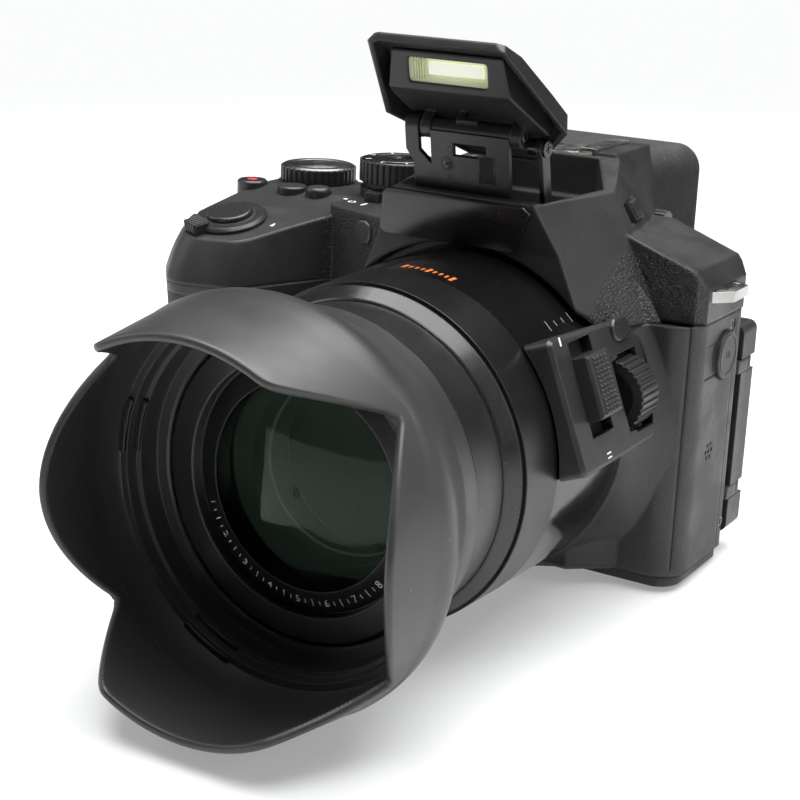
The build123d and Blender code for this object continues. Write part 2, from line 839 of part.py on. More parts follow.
# Rear lens group and its cell, in the barrel's flange
rear_cell = 24.0
rear_group_back = -3.0
rear_group_front = 12.5
rear_glass_back = 1.0
rear_glass_front = 8.0
glass_gap = 0.1
rear_glass_sag = 2.5
with BuildPart() as rear_cell_ring:
    turned(
        (
            (rear_group_back, rear_cell),
            (rear_group_back, rear_bore - running_gap),
            (rear_group_front, rear_bore - running_gap),
            (rear_group_front, rear_cell),
        )
    )
rear_cell_ring.part.label = "rear_cell"
export_step(rear_cell_ring.part, "parts/rear_cell.step")

with BuildPart() as rear_glass:
    with BuildSketch(lens_section) as rear_glass_section:
        with BuildLine():
            rear_glass_edge = Polyline(
                (rear_glass_back, 0),
                (rear_glass_back, rear_cell - glass_gap),
                (rear_glass_front, rear_cell - glass_gap),
            )
            rear_dome = dome_arc((rear_glass_front, rear_cell - glass_gap), rear_glass_front + rear_glass_sag)
            Line(rear_dome @ 1, (rear_glass_back, 0))
        make_face()
    revolve(rear_glass_section.sketch, axis=lens_axis)
rear_glass.part.label = "rear_glass"
export_step(rear_glass.part, "parts/rear_glass.step")

# Iris in the bulkhead: a ring with a polygonal opening
iris_opening = 11.0
iris_sides = 9
iris_back = 18.0
iris_thickness = 1.5
with BuildPart() as iris:
    with BuildSketch(lens_plane(iris_back)):
        Circle(iris_bore - running_gap)
        RegularPolygon(iris_opening, iris_sides, mode=Mode.SUBTRACT)
    extrude(amount=iris_thickness)
iris.part.label = "iris"
export_step(iris.part, "parts/iris.step")

# Zoom tube, which slides in the barrel
zoom_tube_back = 27.0
zoom_tube_front = 76.0
with BuildPart() as zoom_tube:
    disc(lens_plane(zoom_tube_back), zoom_radius, zoom_tube_front - zoom_tube_back, bore=zoom_bore)
zoom_tube.part.label = "zoom_tube"
export_step(zoom_tube.part, "parts/zoom_tube.step")

# Zoom lens group, fixed in the back of the zoom tube
zoom_group_back = 28.0
zoom_group_front = 37.0
zoom_glass_radius = 22.0
zoom_glass_rise = 3.0
with BuildPart() as zoom_cell:
    disc(
        lens_plane(zoom_group_back), zoom_bore - running_gap, zoom_group_front - zoom_group_back,
        bore=zoom_glass_radius + glass_gap,
    )
zoom_cell.part.label = "zoom_cell"
export_step(zoom_cell.part, "parts/zoom_cell.step")

with BuildPart() as zoom_glass:
    with BuildSketch(lens_section) as zoom_glass_section:
        with BuildLine():
            zoom_glass_edge = Polyline(
                (zoom_group_back + zoom_wall, 0),
                (zoom_group_back + zoom_wall, zoom_glass_radius),
                (zoom_group_front - zoom_glass_rise, zoom_glass_radius),
            )
            zoom_dome = dome_arc((zoom_group_front - zoom_glass_rise, zoom_glass_radius), zoom_group_front)
            Line(zoom_dome @ 1, (zoom_group_back + zoom_wall, 0))
        make_face()
    revolve(zoom_glass_section.sketch, axis=lens_axis)
zoom_glass.part.label = "zoom_glass"
export_step(zoom_glass.part, "parts/zoom_glass.step")

# Front tube, which slides in the zoom tube and carries the front group, the filter thread and the hood
front_tube_back = 40.0
front_tube_wall = 1.6
front_step = 76.0
front_cell = 24.5
front_shelf = 82.5
name_seat = 84.4
name_seat_radius = 25.5
with BuildPart() as front_tube:
    turned(
        (
            (front_tube_back, tube_radius - front_tube_wall),
            (front_tube_back, tube_radius),
            (tube_front - front_tube_wall / 2, tube_radius),
            (tube_front, tube_radius - front_tube_wall / 2),
            (tube_front, filter_radius),
            (name_seat, filter_radius),
            (name_seat, name_seat_radius),
            (front_shelf, name_seat_radius),
            (front_shelf, front_cell),
            (front_step, front_cell),
            (front_step, tube_radius - front_tube_wall),
        )
    )
front_tube.part.label = "front_tube"
export_step(front_tube.part, "parts/front_tube.step")

# Front element: a domed glass with a stepped edge
glass_back = 77.0
glass_shoulder = 82.0
glass_edge = 85.6
glass_sag = 3.6
with BuildPart() as front_element:
    with BuildSketch(lens_section) as front_glass_section:
        with BuildLine():
            front_glass_edge = Polyline(
                (glass_back, 0),
                (glass_back, front_cell - running_gap),
                (glass_shoulder, front_cell - running_gap),
                (glass_edge, glass_radius - seat_gap),
            )
            front_dome = dome_arc((glass_edge, glass_radius - seat_gap), glass_edge + glass_sag)
            Line(front_dome @ 1, (glass_back, 0))
        make_face()
    revolve(front_glass_section.sketch, axis=lens_axis)
front_element.part.label = "front_element"
export_step(front_element.part, "parts/front_element.step")

# Name ring round the front element, seated on the shelf inside the filter thread
name_ring_front = 85.9
with BuildPart() as name_ring:
    turned(
        (
            (front_shelf + running_gap, front_cell + zoom_wall),
            (front_shelf + running_gap, name_seat_radius - running_gap),
            (name_seat, name_seat_radius - running_gap),
            (name_ring_front, glass_radius + seat_gap),
            (name_ring_front - seat_gap, glass_radius + running_gap),
        )
    )
name_ring.part.label = "name_ring"
export_step(name_ring.part, "parts/name_ring.step")

# Petal hood: a sleeve on the front tube, a bowl behind a ridge, and a cone cut into four petals
hood_back = 79.0
hood_bore = tube_radius + running_gap
sleeve_radius = 34.6
sleeve_front = 84.0
hood_floor = 87.2
floor_radius = 34.7
step_front = 92.0
step_radius = 36.3
throat_front = 94.5
throat_radius = 38.3
ridge_front = 99.1
ridge_radius = 41.6
petal_front = 124.4
petal_radius = 38.2
hood_wall = 1.8
bowl_bulge = 1.6
# (forward, height) of the petals' edge, seen from the side
petal_reach = 42.0
top_corner = (petal_front, 33.6)
top_notch = (103.8, 25.4)
side_shoulder = (112.2, 14.3)
side_corner = (116.9, -4.8)
bottom_notch = (103.8, -25.8)
bottom_corner = (petal_front, -33.6)
notch_round = 1.2
with BuildPart() as lens_hood:
    with BuildSketch(lens_section) as hood_section:
        with BuildLine():
            hood_sleeve = Polyline(
                (hood_floor, hood_bore),
                (hood_back, hood_bore),
                (hood_back, sleeve_radius),
                (sleeve_front, sleeve_radius),
            )
            hood_bowl = SagittaArc(hood_sleeve @ 1, (ridge_front, ridge_radius), bowl_bulge)
            Polyline(
                hood_bowl @ 1,
                (petal_front, petal_radius),
                (petal_front, petal_radius - hood_wall),
                (ridge_front, ridge_radius - hood_wall),
                (throat_front, throat_radius),
                (step_front, step_radius),
                (hood_floor, floor_radius),
                (hood_floor, hood_bore),
            )
        make_face()
    revolve(hood_section.sketch, axis=lens_axis)
    with BuildSketch(lens_section) as petal_cut:
        with BuildLine():
            upper_edge = Line((petal_front + overrun, petal_reach), top_corner)
            notch_line = Line(upper_edge @ 1, top_notch)
            side_edge = ThreePointArc(notch_line @ 1, side_shoulder, side_corner)
            Polyline(side_edge @ 1, bottom_notch, bottom_corner, (petal_front + overrun, -petal_reach))
            Line((petal_front + overrun, -petal_reach), (petal_front + overrun, petal_reach))
        make_face()
        fillet(petal_cut.vertices().filter_by(lambda v: v.Y < overrun - ridge_front), notch_round)
    extrude(petal_cut.sketch, amount=petal_reach + overrun, both=True, mode=Mode.SUBTRACT)
lens_hood.part.label = "lens_hood"
export_step(lens_hood.part, "parts/lens_hood.step")

# Side pod on the barrel, which carries the zoom rocker, the side dial and a button
pod_corner = 1.6
pod_bevel = 0.8
rocker_slot_depth = 2.6
rocker_front = 43.5
rocker_back = 34.0
rocker_high = 8.5
rocker_low = 4.5
rocker_top = 44.0
rocker_travel = 3.0
button_forward = 20.5
button_down = -10.2
button_long = 8.0
button_short = 5.0
button_depth = 1.8
button_rise = 0.8
dial_recess_front = 27.5
slot_floor = pod_face - rocker_slot_depth
with BuildPart() as side_pod:
    with BuildSketch(pod_plane(flange_radius)) as pod_plan:
        with BuildLine():
            Polyline(*pod_outline, close=True)
        make_face()
        fillet(pod_plan.vertices(), pod_corner)
    extrude(pod_plan.sketch, amount=pod_face - flange_radius)
    chamfer(side_pod.faces().sort_by(Axis((0, 0, 0), pod_normal))[-1].edges(), pod_bevel)
    disc(lens_plane(0), barrel_foot + seat_gap, pod_front + overrun, mode=Mode.SUBTRACT)
    collar_side = (
        (pod_rear - overrun, -pod_low - overrun),
        (barrel_back + seat_gap, -pod_low - overrun),
        (barrel_back + seat_gap, pod_low + overrun),
        (pod_rear - overrun, pod_low + overrun),
    )
    prism(collar_side, pod_plane(flange_radius - overrun), pod_floor - flange_radius + overrun, mode=Mode.SUBTRACT)
    rocker_slot = (
        (rocker_back - running_gap, -rocker_high - rocker_travel - bay_gap),
        (rocker_front + running_gap, -rocker_high - rocker_travel - bay_gap),
        (rocker_front + running_gap, rocker_low + rocker_travel + bay_gap),
        (rocker_back - running_gap, rocker_low + rocker_travel + bay_gap),
    )
    prism(rocker_slot, pod_plane(slot_floor), rocker_slot_depth + overrun, mode=Mode.SUBTRACT)
    cut_dial_space()
    dial_recess = (
        (dial_back - dial_space, dial_down - dial_radius - dial_space),
        (dial_recess_front, dial_down - dial_radius + dial_space),
        (dial_recess_front, dial_down + dial_radius - dial_space),
        (dial_back - dial_space, dial_down + dial_radius + dial_space),
    )
    prism(dial_recess, pod_plane(pod_floor + dial_space), pod_face, mode=Mode.SUBTRACT)
    with BuildSketch(pod_plane(pod_face - button_depth)) as button_hole:
        with Locations((button_forward, button_down)):
            SlotOverall(button_long + 2 * running_gap, button_short + 2 * running_gap)
    extrude(button_hole.sketch, amount=button_depth + overrun, mode=Mode.SUBTRACT)
side_pod.part.label = "side_pod"
export_step(side_pod.part, "parts/side_pod.step")

# Zoom rocker of the pod: a saddle with a raised front rib
rocker_corner = 0.6
with BuildPart() as zoom_rocker:
    rocker_outline = (
        (rocker_back, -rocker_high),
        (rocker_front, -rocker_high),
        (rocker_front, rocker_low),
        (rocker_back, rocker_low),
    )
    prism(rocker_outline, pod_plane(slot_floor + running_gap), rocker_top - slot_floor - running_gap)
    rocker_crown = zoom_rocker.faces().sort_by(Axis((0, 0, 0), pod_normal))[-1]
    chamfer(rocker_crown.edges(), rocker_corner)
zoom_rocker.part.label = "zoom_rocker"
export_step(zoom_rocker.part, "parts/zoom_rocker.step")

# Side dial on its own axle, and the pod's button
dial_ribs = 32
dial_rib_depth = 0.35
dish_radius = 5.6
dish_depth = 1.4
with BuildPart() as side_dial:
    knurled(pod_cross_plane(dial_depth, dial_down, dial_back), dial_radius, dial_front - dial_back, dial_ribs,
            dial_rib_depth)
    disc(
        pod_cross_plane(dial_depth, dial_down, dial_front - dish_depth), dish_radius, dish_depth + overrun,
        mode=Mode.SUBTRACT,
    )
    disc(
        pod_cross_plane(dial_depth, dial_down, dial_back - axle_reach + seat_gap), axle_radius,
        dial_front - dial_back + 2 * (axle_reach - seat_gap),
    )
side_dial.part.label = "side_dial"
export_step(side_dial.part, "parts/side_dial.step")

press_travel = 0.5
with BuildPart() as focus_button:
    with BuildSketch(pod_plane(pod_face - button_depth + press_travel + running_gap)) as focus_outline:
        with Locations((button_forward, button_down)):
            SlotOverall(button_long, button_short)
    extrude(focus_outline.sketch, amount=button_depth - press_travel - running_gap + button_rise)
    focus_crown = focus_button.faces().sort_by(Axis((0, 0, 0), pod_normal))[-1]
    chamfer(focus_crown.edges(), button_rise / 2)
focus_button.part.label = "focus_button"
export_step(focus_button.part, "parts/focus_button.step")

# Flash bracket: a web between the two pivot barrels, set forward of the line between them
web_front = 2.6
web_back = 1.4
arm_angle = atan2(head_pivot_open[1] - arm_pivot[1], head_pivot_open[0] - arm_pivot[0])
arm_forward = (-sin(arm_angle), cos(arm_angle))
head_barrel_half = 9.4
web_gap_half = 4.0
web_gap_share = 0.12
web_gap_low_share = 0.74
wing_start_share = 0.22
wing_step_share = 0.62
wing_end_share = 0.76
wing_lower_reach = 13.8
wing_reach = 15.6
wing_inner = 12.4
wing_radius = 2.6
arm_length = hypot(head_pivot_open[0] - arm_pivot[0], head_pivot_open[1] - arm_pivot[1])


def arm_point(share, forward):
    """Return the (y, z) point a share of the way up the arm, set forward of its line."""
    return tuple(
        low + share * (high - low) + forward * normal
        for low, high, normal in zip(arm_pivot, head_pivot_open, arm_forward)
    )


with BuildPart() as flash_bracket:
    web_profile = (arm_point(0, web_back), arm_point(0, web_front), arm_point(1, web_front), arm_point(1, web_back))
    prism(web_profile, Plane.YZ.offset(-head_barrel_half), 2 * head_barrel_half)
    disc(across(arm_pivot, -bracket_half), pivot_barrel, 2 * bracket_half)
    disc(across(head_pivot_open, -head_barrel_half), pivot_barrel, 2 * head_barrel_half)
    wing_plane = Plane(
        origin=(0, *arm_point(0, web_back)),
        x_dir=(1, 0, 0),
        z_dir=(0, *arm_forward),
    )
    wing_outline = (
        (-head_barrel_half, wing_start_share * arm_length),
        (-wing_lower_reach, wing_start_share * arm_length),
        (-wing_lower_reach, wing_step_share * arm_length),
        (-wing_reach, wing_end_share * arm_length),
        (-wing_reach, arm_length),
        (-wing_inner, arm_length),
        (-wing_inner, wing_end_share * arm_length),
        (-head_barrel_half, wing_step_share * arm_length),
    )
    prism(wing_outline, wing_plane, web_front - web_back)
    disc(across(head_pivot_open, -wing_reach), wing_radius, wing_reach - wing_inner)
    disc(across(arm_pivot, -bracket_half - seat_gap), pin_radius + running_gap, 2 * (bracket_half + seat_gap),
         mode=Mode.SUBTRACT)
    disc(across(head_pivot_open, -wing_reach - seat_gap), pin_radius + running_gap,
         2 * (wing_reach + seat_gap), mode=Mode.SUBTRACT)
    web_gap = (
        arm_point(web_gap_low_share, 0),
        arm_point(web_gap_low_share, web_front + overrun),
        arm_point(1 - web_gap_share, web_front + overrun),
        arm_point(1 - web_gap_share, 0),
    )
    prism(web_gap, Plane.YZ.offset(-web_gap_half), 2 * web_gap_half, mode=Mode.SUBTRACT)
flash_bracket.part.label = "flash_bracket"
export_step(flash_bracket.part, "parts/flash_bracket.step")

# The two hinge pins of the bracket
ear_thickness = 2.6
with BuildPart() as flash_pins:
    disc(across(arm_pivot, -bracket_half - boss_thickness), pin_radius, 2 * (bracket_half + boss_thickness))
    disc(across(head_pivot_open, -wing_reach), pin_radius, wing_reach + head_barrel_half + ear_thickness)
flash_pins.part.label = "flash_pins"
export_step(flash_pins.part, "parts/flash_pins.step")

# Flash head, drawn in its own frame at the head's hinge: y runs back and z up when it is folded
head_cos = cos(radians(head_tilt))
head_sin = sin(radians(head_tilt))


def head_plan(height):
    """Return the head's plan at a height: X runs to port and Y runs back."""
    return Plane(
        origin=(0, head_pivot_open[0] + height * head_sin, head_pivot_open[1] + height * head_cos),
        x_dir=(1, 0, 0),
        z_dir=(0, head_sin, head_cos),
    )


def head_side(start):
    """Return the head's side view: X runs back and Y runs up."""
    return Plane(
        origin=(start, head_pivot_open[0], head_pivot_open[1]), x_dir=(0, head_cos, -head_sin), z_dir=(1, 0, 0)
    )


lid_length = 43.0
lid_width = 45.0
lid_height = 6.0
# Plan of the lid from front to back: shares of its width and of its length from the hinge
lid_half_shares = (0.313, 0.364, 0.5, 0.244)
lid_station_shares = (-0.635, -0.605, -0.037, 0.358)
lid_halves = tuple(share * lid_width for share in lid_half_shares)
lid_stations = tuple(share * lid_length for share in lid_station_shares)
lid_draw = 2.8
lid_crown = 6.2
lid_wall = 1.2
# Side view of the lid: shares of its length and height, for the rim's underside from front to back
# and then the top from back to front
lid_rim_shares = ((-0.614, 0.05), (-0.037, 0.15), (0.363, 0.817))
lid_top_shares = ((0.367, 1.0), (-0.186, 0.933), (-0.465, 0.783), (-0.628, 0.317))
lid_rim = tuple((back * lid_length, up * lid_height) for back, up in lid_rim_shares)
lid_top = tuple((back * lid_length, up * lid_height) for back, up in lid_top_shares)
lid_base = -1.0


def lid_form(inset, mode=Mode.ADD):
    """Loft the lid's outline and draw in its sides, or the space inside it."""
    sections = []
    for height, draw in ((lid_base, 0), (lid_crown, lid_draw)):
        with BuildSketch(head_plan(height)) as lid_plan:
            with BuildLine():
                starboard = [(-half + draw, station) for half, station in zip(lid_halves, lid_stations)]
                Polyline(*starboard, *[(-x, y) for x, y in starboard[::-1]], close=True)
            make_face()
            if inset:
                offset(amount=-inset, kind=Kind.INTERSECTION)
        sections.append(lid_plan.sketch)
    loft(sections, ruled=True, mode=mode)


lid_reach = 30.0
with BuildPart() as lid_space:
    lid_form(lid_wall)
    inner_top = tuple((y, z - lid_wall) for y, z in lid_top)
    prism(
        ((lid_rim[0][0], lid_base), (lid_rim[2][0], lid_base), *inner_top), head_side(-lid_reach), 2 * lid_reach,
        mode=Mode.INTERSECT,
    )
with BuildPart() as flash_cover:
    lid_form(0)
    prism((*lid_rim, *lid_top), head_side(-lid_reach), 2 * lid_reach, mode=Mode.INTERSECT)
    add(lid_space.part, mode=Mode.SUBTRACT)
flash_cover.part.label = "flash_cover"
export_step(flash_cover.part, "parts/flash_cover.step")

# Head under the lid, with the window's recess in its face and a recess for the bracket
face_top = (-21.6, 2.5)
face_bottom = (-14.8, -2.0)
face_half_top = 12.9
head_half_rear = 16.7
head_rear = (0.4, 1.4)
head_top = ((0.4, 4.0), (-8.0, 4.0), (-20.0, 3.0))
hinge_space = 3.1
ear_radius = 2.5
window_half = 9.3
window_height = 5.2
window_depth = 1.6
hook_front = -4.9
hook_back = -3.7
hook_drop = -1.5
hook_foot = 1.1
hook_side = -2.2
hook_stem = 1.6
hook_reach = 2.6
face_middle = tuple((high + low) / 2 for high, low in zip(face_top, face_bottom))
face_run = hypot(face_bottom[0] - face_top[0], face_bottom[1] - face_top[1])
face_down = ((face_bottom[0] - face_top[0]) / face_run, (face_bottom[1] - face_top[1]) / face_run)
ear_inner = head_barrel_half + running_gap
ear_outer = head_barrel_half + ear_thickness


def head_point(local):
    """Return the (y, z) point of the body for a point of the head's side view."""
    return (
        head_pivot_open[0] + local[0] * head_cos + local[1] * head_sin,
        head_pivot_open[1] - local[0] * head_sin + local[1] * head_cos,
    )


def face_plane(depth):
    """Return the plane of the flash's face, sunk by a depth: Y runs up the face."""
    middle = (face_middle[0] - face_down[1] * depth, face_middle[1] + face_down[0] * depth)
    centre = head_point(middle)
    up = (-face_down[0], -face_down[1])
    up_dir = (0, up[0] * head_cos + up[1] * head_sin, -up[0] * head_sin + up[1] * head_cos)
    return Plane(origin=(0, centre[0], centre[1]), x_dir=(1, 0, 0), z_dir=(0, -up_dir[2], up_dir[1]))


with BuildPart() as flash_head:
    prism((face_top, face_bottom, head_rear, *head_top), head_side(-head_half_rear), 2 * head_half_rear)
    head_outline = (
        (-face_half_top, face_top[0]),
        (face_half_top, face_top[0]),
        (head_half_rear, 0),
        (head_half_rear, head_rear[0] + overrun),
        (-head_half_rear, head_rear[0] + overrun),
        (-head_half_rear, 0),
    )
    prism(head_outline, head_plan(-lid_reach), 2 * lid_reach, mode=Mode.INTERSECT)
    closed_arm = (arm_pivot[0] - head_pivot_closed[0], arm_pivot[1] - head_pivot_closed[1])
    web_line = (web_front + bay_gap) * hypot(*closed_arm) / abs(closed_arm[0])
    web_space = (
        (face_bottom[0] + lid_wall, face_bottom[1] - overrun),
        (face_bottom[0] + lid_wall, face_bottom[0] * closed_arm[1] / closed_arm[0] + web_line),
        (0, hinge_space),
        (head_rear[0] + overrun, hinge_space),
        (head_rear[0] + overrun, face_bottom[1] - overrun),
    )
    space_start = head_half_rear + overrun
    prism(web_space, head_side(-space_start), space_start + bracket_half + soft_gap, mode=Mode.SUBTRACT)
    for reach, rise in ((hook_stem, head_top[0][1]), (hook_reach - hook_side, hook_drop + hook_foot)):
        hook_outline = ((hook_front, hook_drop), (hook_back, hook_drop), (hook_back, rise), (hook_front, rise))
        prism(hook_outline, head_side(hook_side), reach)
    for start in (-ear_outer, ear_inner):
        disc(head_side(start), ear_radius, ear_outer - ear_inner)
        prism(
            ((-ear_radius, 0), (ear_radius / 2, 0), (head_rear[0], head_top[0][1]), (-ear_radius, head_top[0][1])),
            head_side(start), ear_outer - ear_inner,
        )
    disc(head_side(-ear_outer - overrun), pin_radius + running_gap, 2 * (ear_outer + overrun), mode=Mode.SUBTRACT)
    with BuildSketch(face_plane(window_depth)) as window_recess:
        RectangleRounded(2 * window_half, window_height, window_depth / 2)
    extrude(window_recess.sketch, amount=window_depth + overrun, mode=Mode.SUBTRACT)
flash_head.part.label = "flash_head"
export_step(flash_head.part, "parts/flash_head.step")

# Window of the flash
pane_thickness = 1.2
with BuildPart() as flash_window:
    with BuildSketch(face_plane(window_depth - running_gap)) as pane:
        RectangleRounded(
            2 * (window_half - running_gap), window_height - 2 * running_gap, window_depth / 2 - running_gap
        )
    extrude(pane.sketch, amount=pane_thickness)
flash_window.part.label = "flash_window"
export_step(flash_window.part, "parts/flash_window.step")

# Link on the port side, which turns the head as the bracket rises; its top eye has play
link_top = head_point(link_pin_local)
link_play = 0.85
link_run = (link_top[0] - link_pivot[0], link_top[1] - link_pivot[1])
link_length = hypot(*link_run)
link_side = (-link_run[1] / link_length * link_half_width, link_run[0] / link_length * link_half_width)
link_eye = 2.2
link_foot_eye = 1.8
with BuildPart() as flash_link:
    link_bar = (
        (link_pivot[0] + link_side[0], link_pivot[1] + link_side[1]),
        (link_top[0] + link_side[0], link_top[1] + link_side[1]),
        (link_top[0] - link_side[0], link_top[1] - link_side[1]),
        (link_pivot[0] - link_side[0], link_pivot[1] - link_side[1]),
    )
    prism(link_bar, Plane.YZ.offset(link_inner), link_outer - link_inner)
    disc(across(link_pivot, link_inner), link_foot_eye, link_outer - link_inner)
    disc(across(link_top, link_inner), link_eye, link_outer - link_inner)
    disc(across(link_pivot, link_inner - overrun), stud_radius + running_gap, 2 * overrun + link_outer - link_inner,
         mode=Mode.SUBTRACT)
    disc(across(link_top, link_inner - overrun), stud_radius + link_play, 2 * overrun + link_outer - link_inner,
         mode=Mode.SUBTRACT)
flash_link.part.label = "flash_link"
export_step(flash_link.part, "parts/flash_link.step")

# Screw that holds the link's top eye to the head's ear
with BuildPart() as link_screw:
    disc(across(link_top, ear_outer + running_gap), stud_radius, link_outer - ear_outer)
    disc(across(link_top, link_outer + running_gap), screw_radius, screw_height)
    disc(across(link_top, ear_outer + running_gap), screw_radius, link_inner - ear_outer - 2 * running_gap)
link_screw.part.label = "link_screw"
export_step(link_screw.part, "parts/link_screw.step")

# Slider that opens the flash
switch_rise = 0.7
with BuildPart() as flash_switch:
    prism(switch_outline(0), switch_plane.offset(running_gap - switch_depth), switch_depth + switch_rise)
flash_switch.part.label = "flash_switch"
export_step(flash_switch.part, "parts/flash_switch.step")

# Accessory shoe: rails with inward lips, and the contact block
shoe_thickness = 0.6
shoe_wall = 1.2
shoe_proud = 0.6
shoe_top = shoe_deck + shoe_proud
lip_half = 6.4
lip_thickness = 0.7
with BuildPart() as shoe_rails:
    rail_profile = (
        (-shoe_half, shoe_floor + running_gap),
        (shoe_half, shoe_floor + running_gap),
        (shoe_half, shoe_top),
        (lip_half, shoe_top),
        (lip_half, shoe_top - lip_thickness),
        (shoe_half - shoe_wall, shoe_top - lip_thickness),
        (shoe_half - shoe_wall, shoe_floor + shoe_thickness),
        (-shoe_half + shoe_wall, shoe_floor + shoe_thickness),
        (-shoe_half + shoe_wall, shoe_top - lip_thickness),
        (-lip_half, shoe_top - lip_thickness),
        (-lip_half, shoe_top),
        (-shoe_half, shoe_top),
    )
    prism(rail_profile, Plane.XZ.offset(-shoe_back), shoe_back - shoe_front - seat_gap)
shoe_rails.part.label = "shoe_rails"
export_step(shoe_rails.part, "parts/shoe_rails.step")

contact_radius = 1.2
contact_height = 0.15
contact_forward = 4.0
contact_side = 3.6
with BuildPart() as shoe_contacts:
    contact_plane = Plane(origin=(0, (shoe_front + shoe_back) / 2, shoe_floor + shoe_thickness))
    disc(contact_plane, 2 * contact_radius, contact_height)
    for side in (-contact_side, contact_side):
        disc(contact_plane, contact_radius, contact_height, centre=(side, -contact_forward))
shoe_contacts.part.label = "shoe_contacts"
export_step(shoe_contacts.part, "parts/shoe_contacts.step")

# Mode dial with its power lever round the neck
dial_neck = 7.4
mode_skirt = 2.4
mode_knurl_low = 3.8
mode_top = 8.8
mode_radius = 9.5
mode_skirt_radius = 8.6
lever_outer = 9.2
lever_top = 2.3
lever_reach = 12.0
lever_width = 4.0
mode_ribs = 36
mode_rib_depth = 0.4
top_bevel = 0.4
with BuildPart() as mode_dial:
    mode_plane = Plane(origin=(mode_dial_centre[0], mode_dial_centre[1], deck_height + running_gap))
    disc(mode_plane, dial_neck, mode_skirt)
    disc(mode_plane.offset(mode_skirt - running_gap), mode_skirt_radius, mode_knurl_low - mode_skirt)
    knurled(mode_plane.offset(mode_knurl_low - running_gap), mode_radius, mode_top - mode_knurl_low, mode_ribs,
            mode_rib_depth)
mode_dial.part.label = "mode_dial"
export_step(mode_dial.part, "parts/mode_dial.step")

with BuildPart() as power_lever:
    lever_plane = Plane(origin=(mode_dial_centre[0], mode_dial_centre[1], deck_height + running_gap))
    with BuildSketch(lever_plane) as lever_outline:
        Circle(lever_outer)
        with Locations((0, -lever_reach / 2)):
            Rectangle(lever_width, lever_reach)
        Circle(dial_neck + running_gap, mode=Mode.SUBTRACT)
    extrude(lever_outline.sketch, amount=lever_top - 2 * running_gap)
power_lever.part.label = "power_lever"
export_step(power_lever.part, "parts/power_lever.step")

# Rear dial
rear_dial_radius = 9.4
rear_dial_rise = 3.8
rear_ribs = 36
with BuildPart() as rear_dial:
    knurled(
        Plane(origin=(rear_dial_centre[0], rear_dial_centre[1], deck_height + seat_gap)),
        rear_dial_radius, rear_dial_rise, rear_ribs, mode_rib_depth,
    )
    chamfer(rear_dial.faces().sort_by(Axis.Z)[-1].edges(), top_bevel / 2)
rear_dial.part.label = "rear_dial"
export_step(rear_dial.part, "parts/rear_dial.step")

# Shutter button, and the zoom collar round it with its ribbed finger piece
shutter_top = 2.6
collar_bore = collar_seat_radius + running_gap
collar_outer_radius = 8.6
collar_height = 1.3
collar_crown_radius = 7.2
finger_turn = 25.0
finger_half = 2.6
finger_reach = 10.6
finger_height = 2.4
with BuildPart() as shutter_button:
    disc(shutter_plane.offset(press_travel - button_pocket + running_gap), shutter_radius,
         button_pocket - press_travel + shutter_top - running_gap)
    fillet(shutter_button.faces().sort_by(Axis.Z)[-1].edges(), shutter_top / 4)
shutter_button.part.label = "shutter_button"
export_step(shutter_button.part, "parts/shutter_button.step")

with BuildPart() as zoom_collar:
    disc(shutter_plane.offset(running_gap), collar_outer_radius, collar_height, bore=collar_bore)
    collar_top_face = zoom_collar.faces().sort_by(Axis.Z)[-1]
    chamfer(collar_top_face.edges().sort_by(SortBy.RADIUS)[-1], collar_height / 2)
    with BuildSketch(shutter_plane.offset(running_gap)) as finger_outline:
        with Locations(Rotation(0, 0, -finger_turn)):
            with Locations((0, -(finger_reach + collar_crown_radius) / 2)):
                Rectangle(2 * finger_half, finger_reach - collar_crown_radius)
    extrude(finger_outline.sketch, amount=finger_height)
zoom_collar.part.label = "zoom_collar"
export_step(zoom_collar.part, "parts/zoom_collar.step")

# Round buttons of the deck
button_crown = 0.9
burst_crown = 1.5


def deck_button(centre, radius, crown):
    """Make a round button that stands proud of the deck by its crown."""
    disc(Plane(origin=(centre[0], centre[1], deck_height - button_pocket + press_travel + running_gap)), radius,
         button_pocket - press_travel - running_gap + crown)


with BuildPart() as movie_button:
    deck_button(movie_centre, movie_radius, button_crown)
    chamfer(movie_button.faces().sort_by(Axis.Z)[-1].edges(), top_bevel)
movie_button.part.label = "movie_button"
export_step(movie_button.part, "parts/movie_button.step")

with BuildPart() as function_button:
    deck_button(function_centre, function_radius, button_crown)
    chamfer(function_button.faces().sort_by(Axis.Z)[-1].edges(), top_bevel)
function_button.part.label = "function_button"
export_step(function_button.part, "parts/function_button.step")

with BuildPart() as dome_button:
    deck_button(burst_centre, burst_radius, burst_crown)
    fillet(dome_button.faces().sort_by(Axis.Z)[-1].edges(), burst_crown - top_bevel)
dome_button.part.label = "dome_button"
export_step(dome_button.part, "parts/dome_button.step")

# Autofocus lamp in the slanted wall beside the hump
lamp_crown = 0.5
with BuildPart() as af_lamp:
    disc(lamp_plane.offset(running_gap - lamp_depth), lamp_radius, lamp_depth + lamp_crown)
    fillet(af_lamp.faces().sort_by(Axis((0, 0, 0), lamp_plane.z_dir))[-1].edges(), lamp_crown - running_gap)
af_lamp.part.label = "af_lamp"
export_step(af_lamp.part, "parts/af_lamp.step")

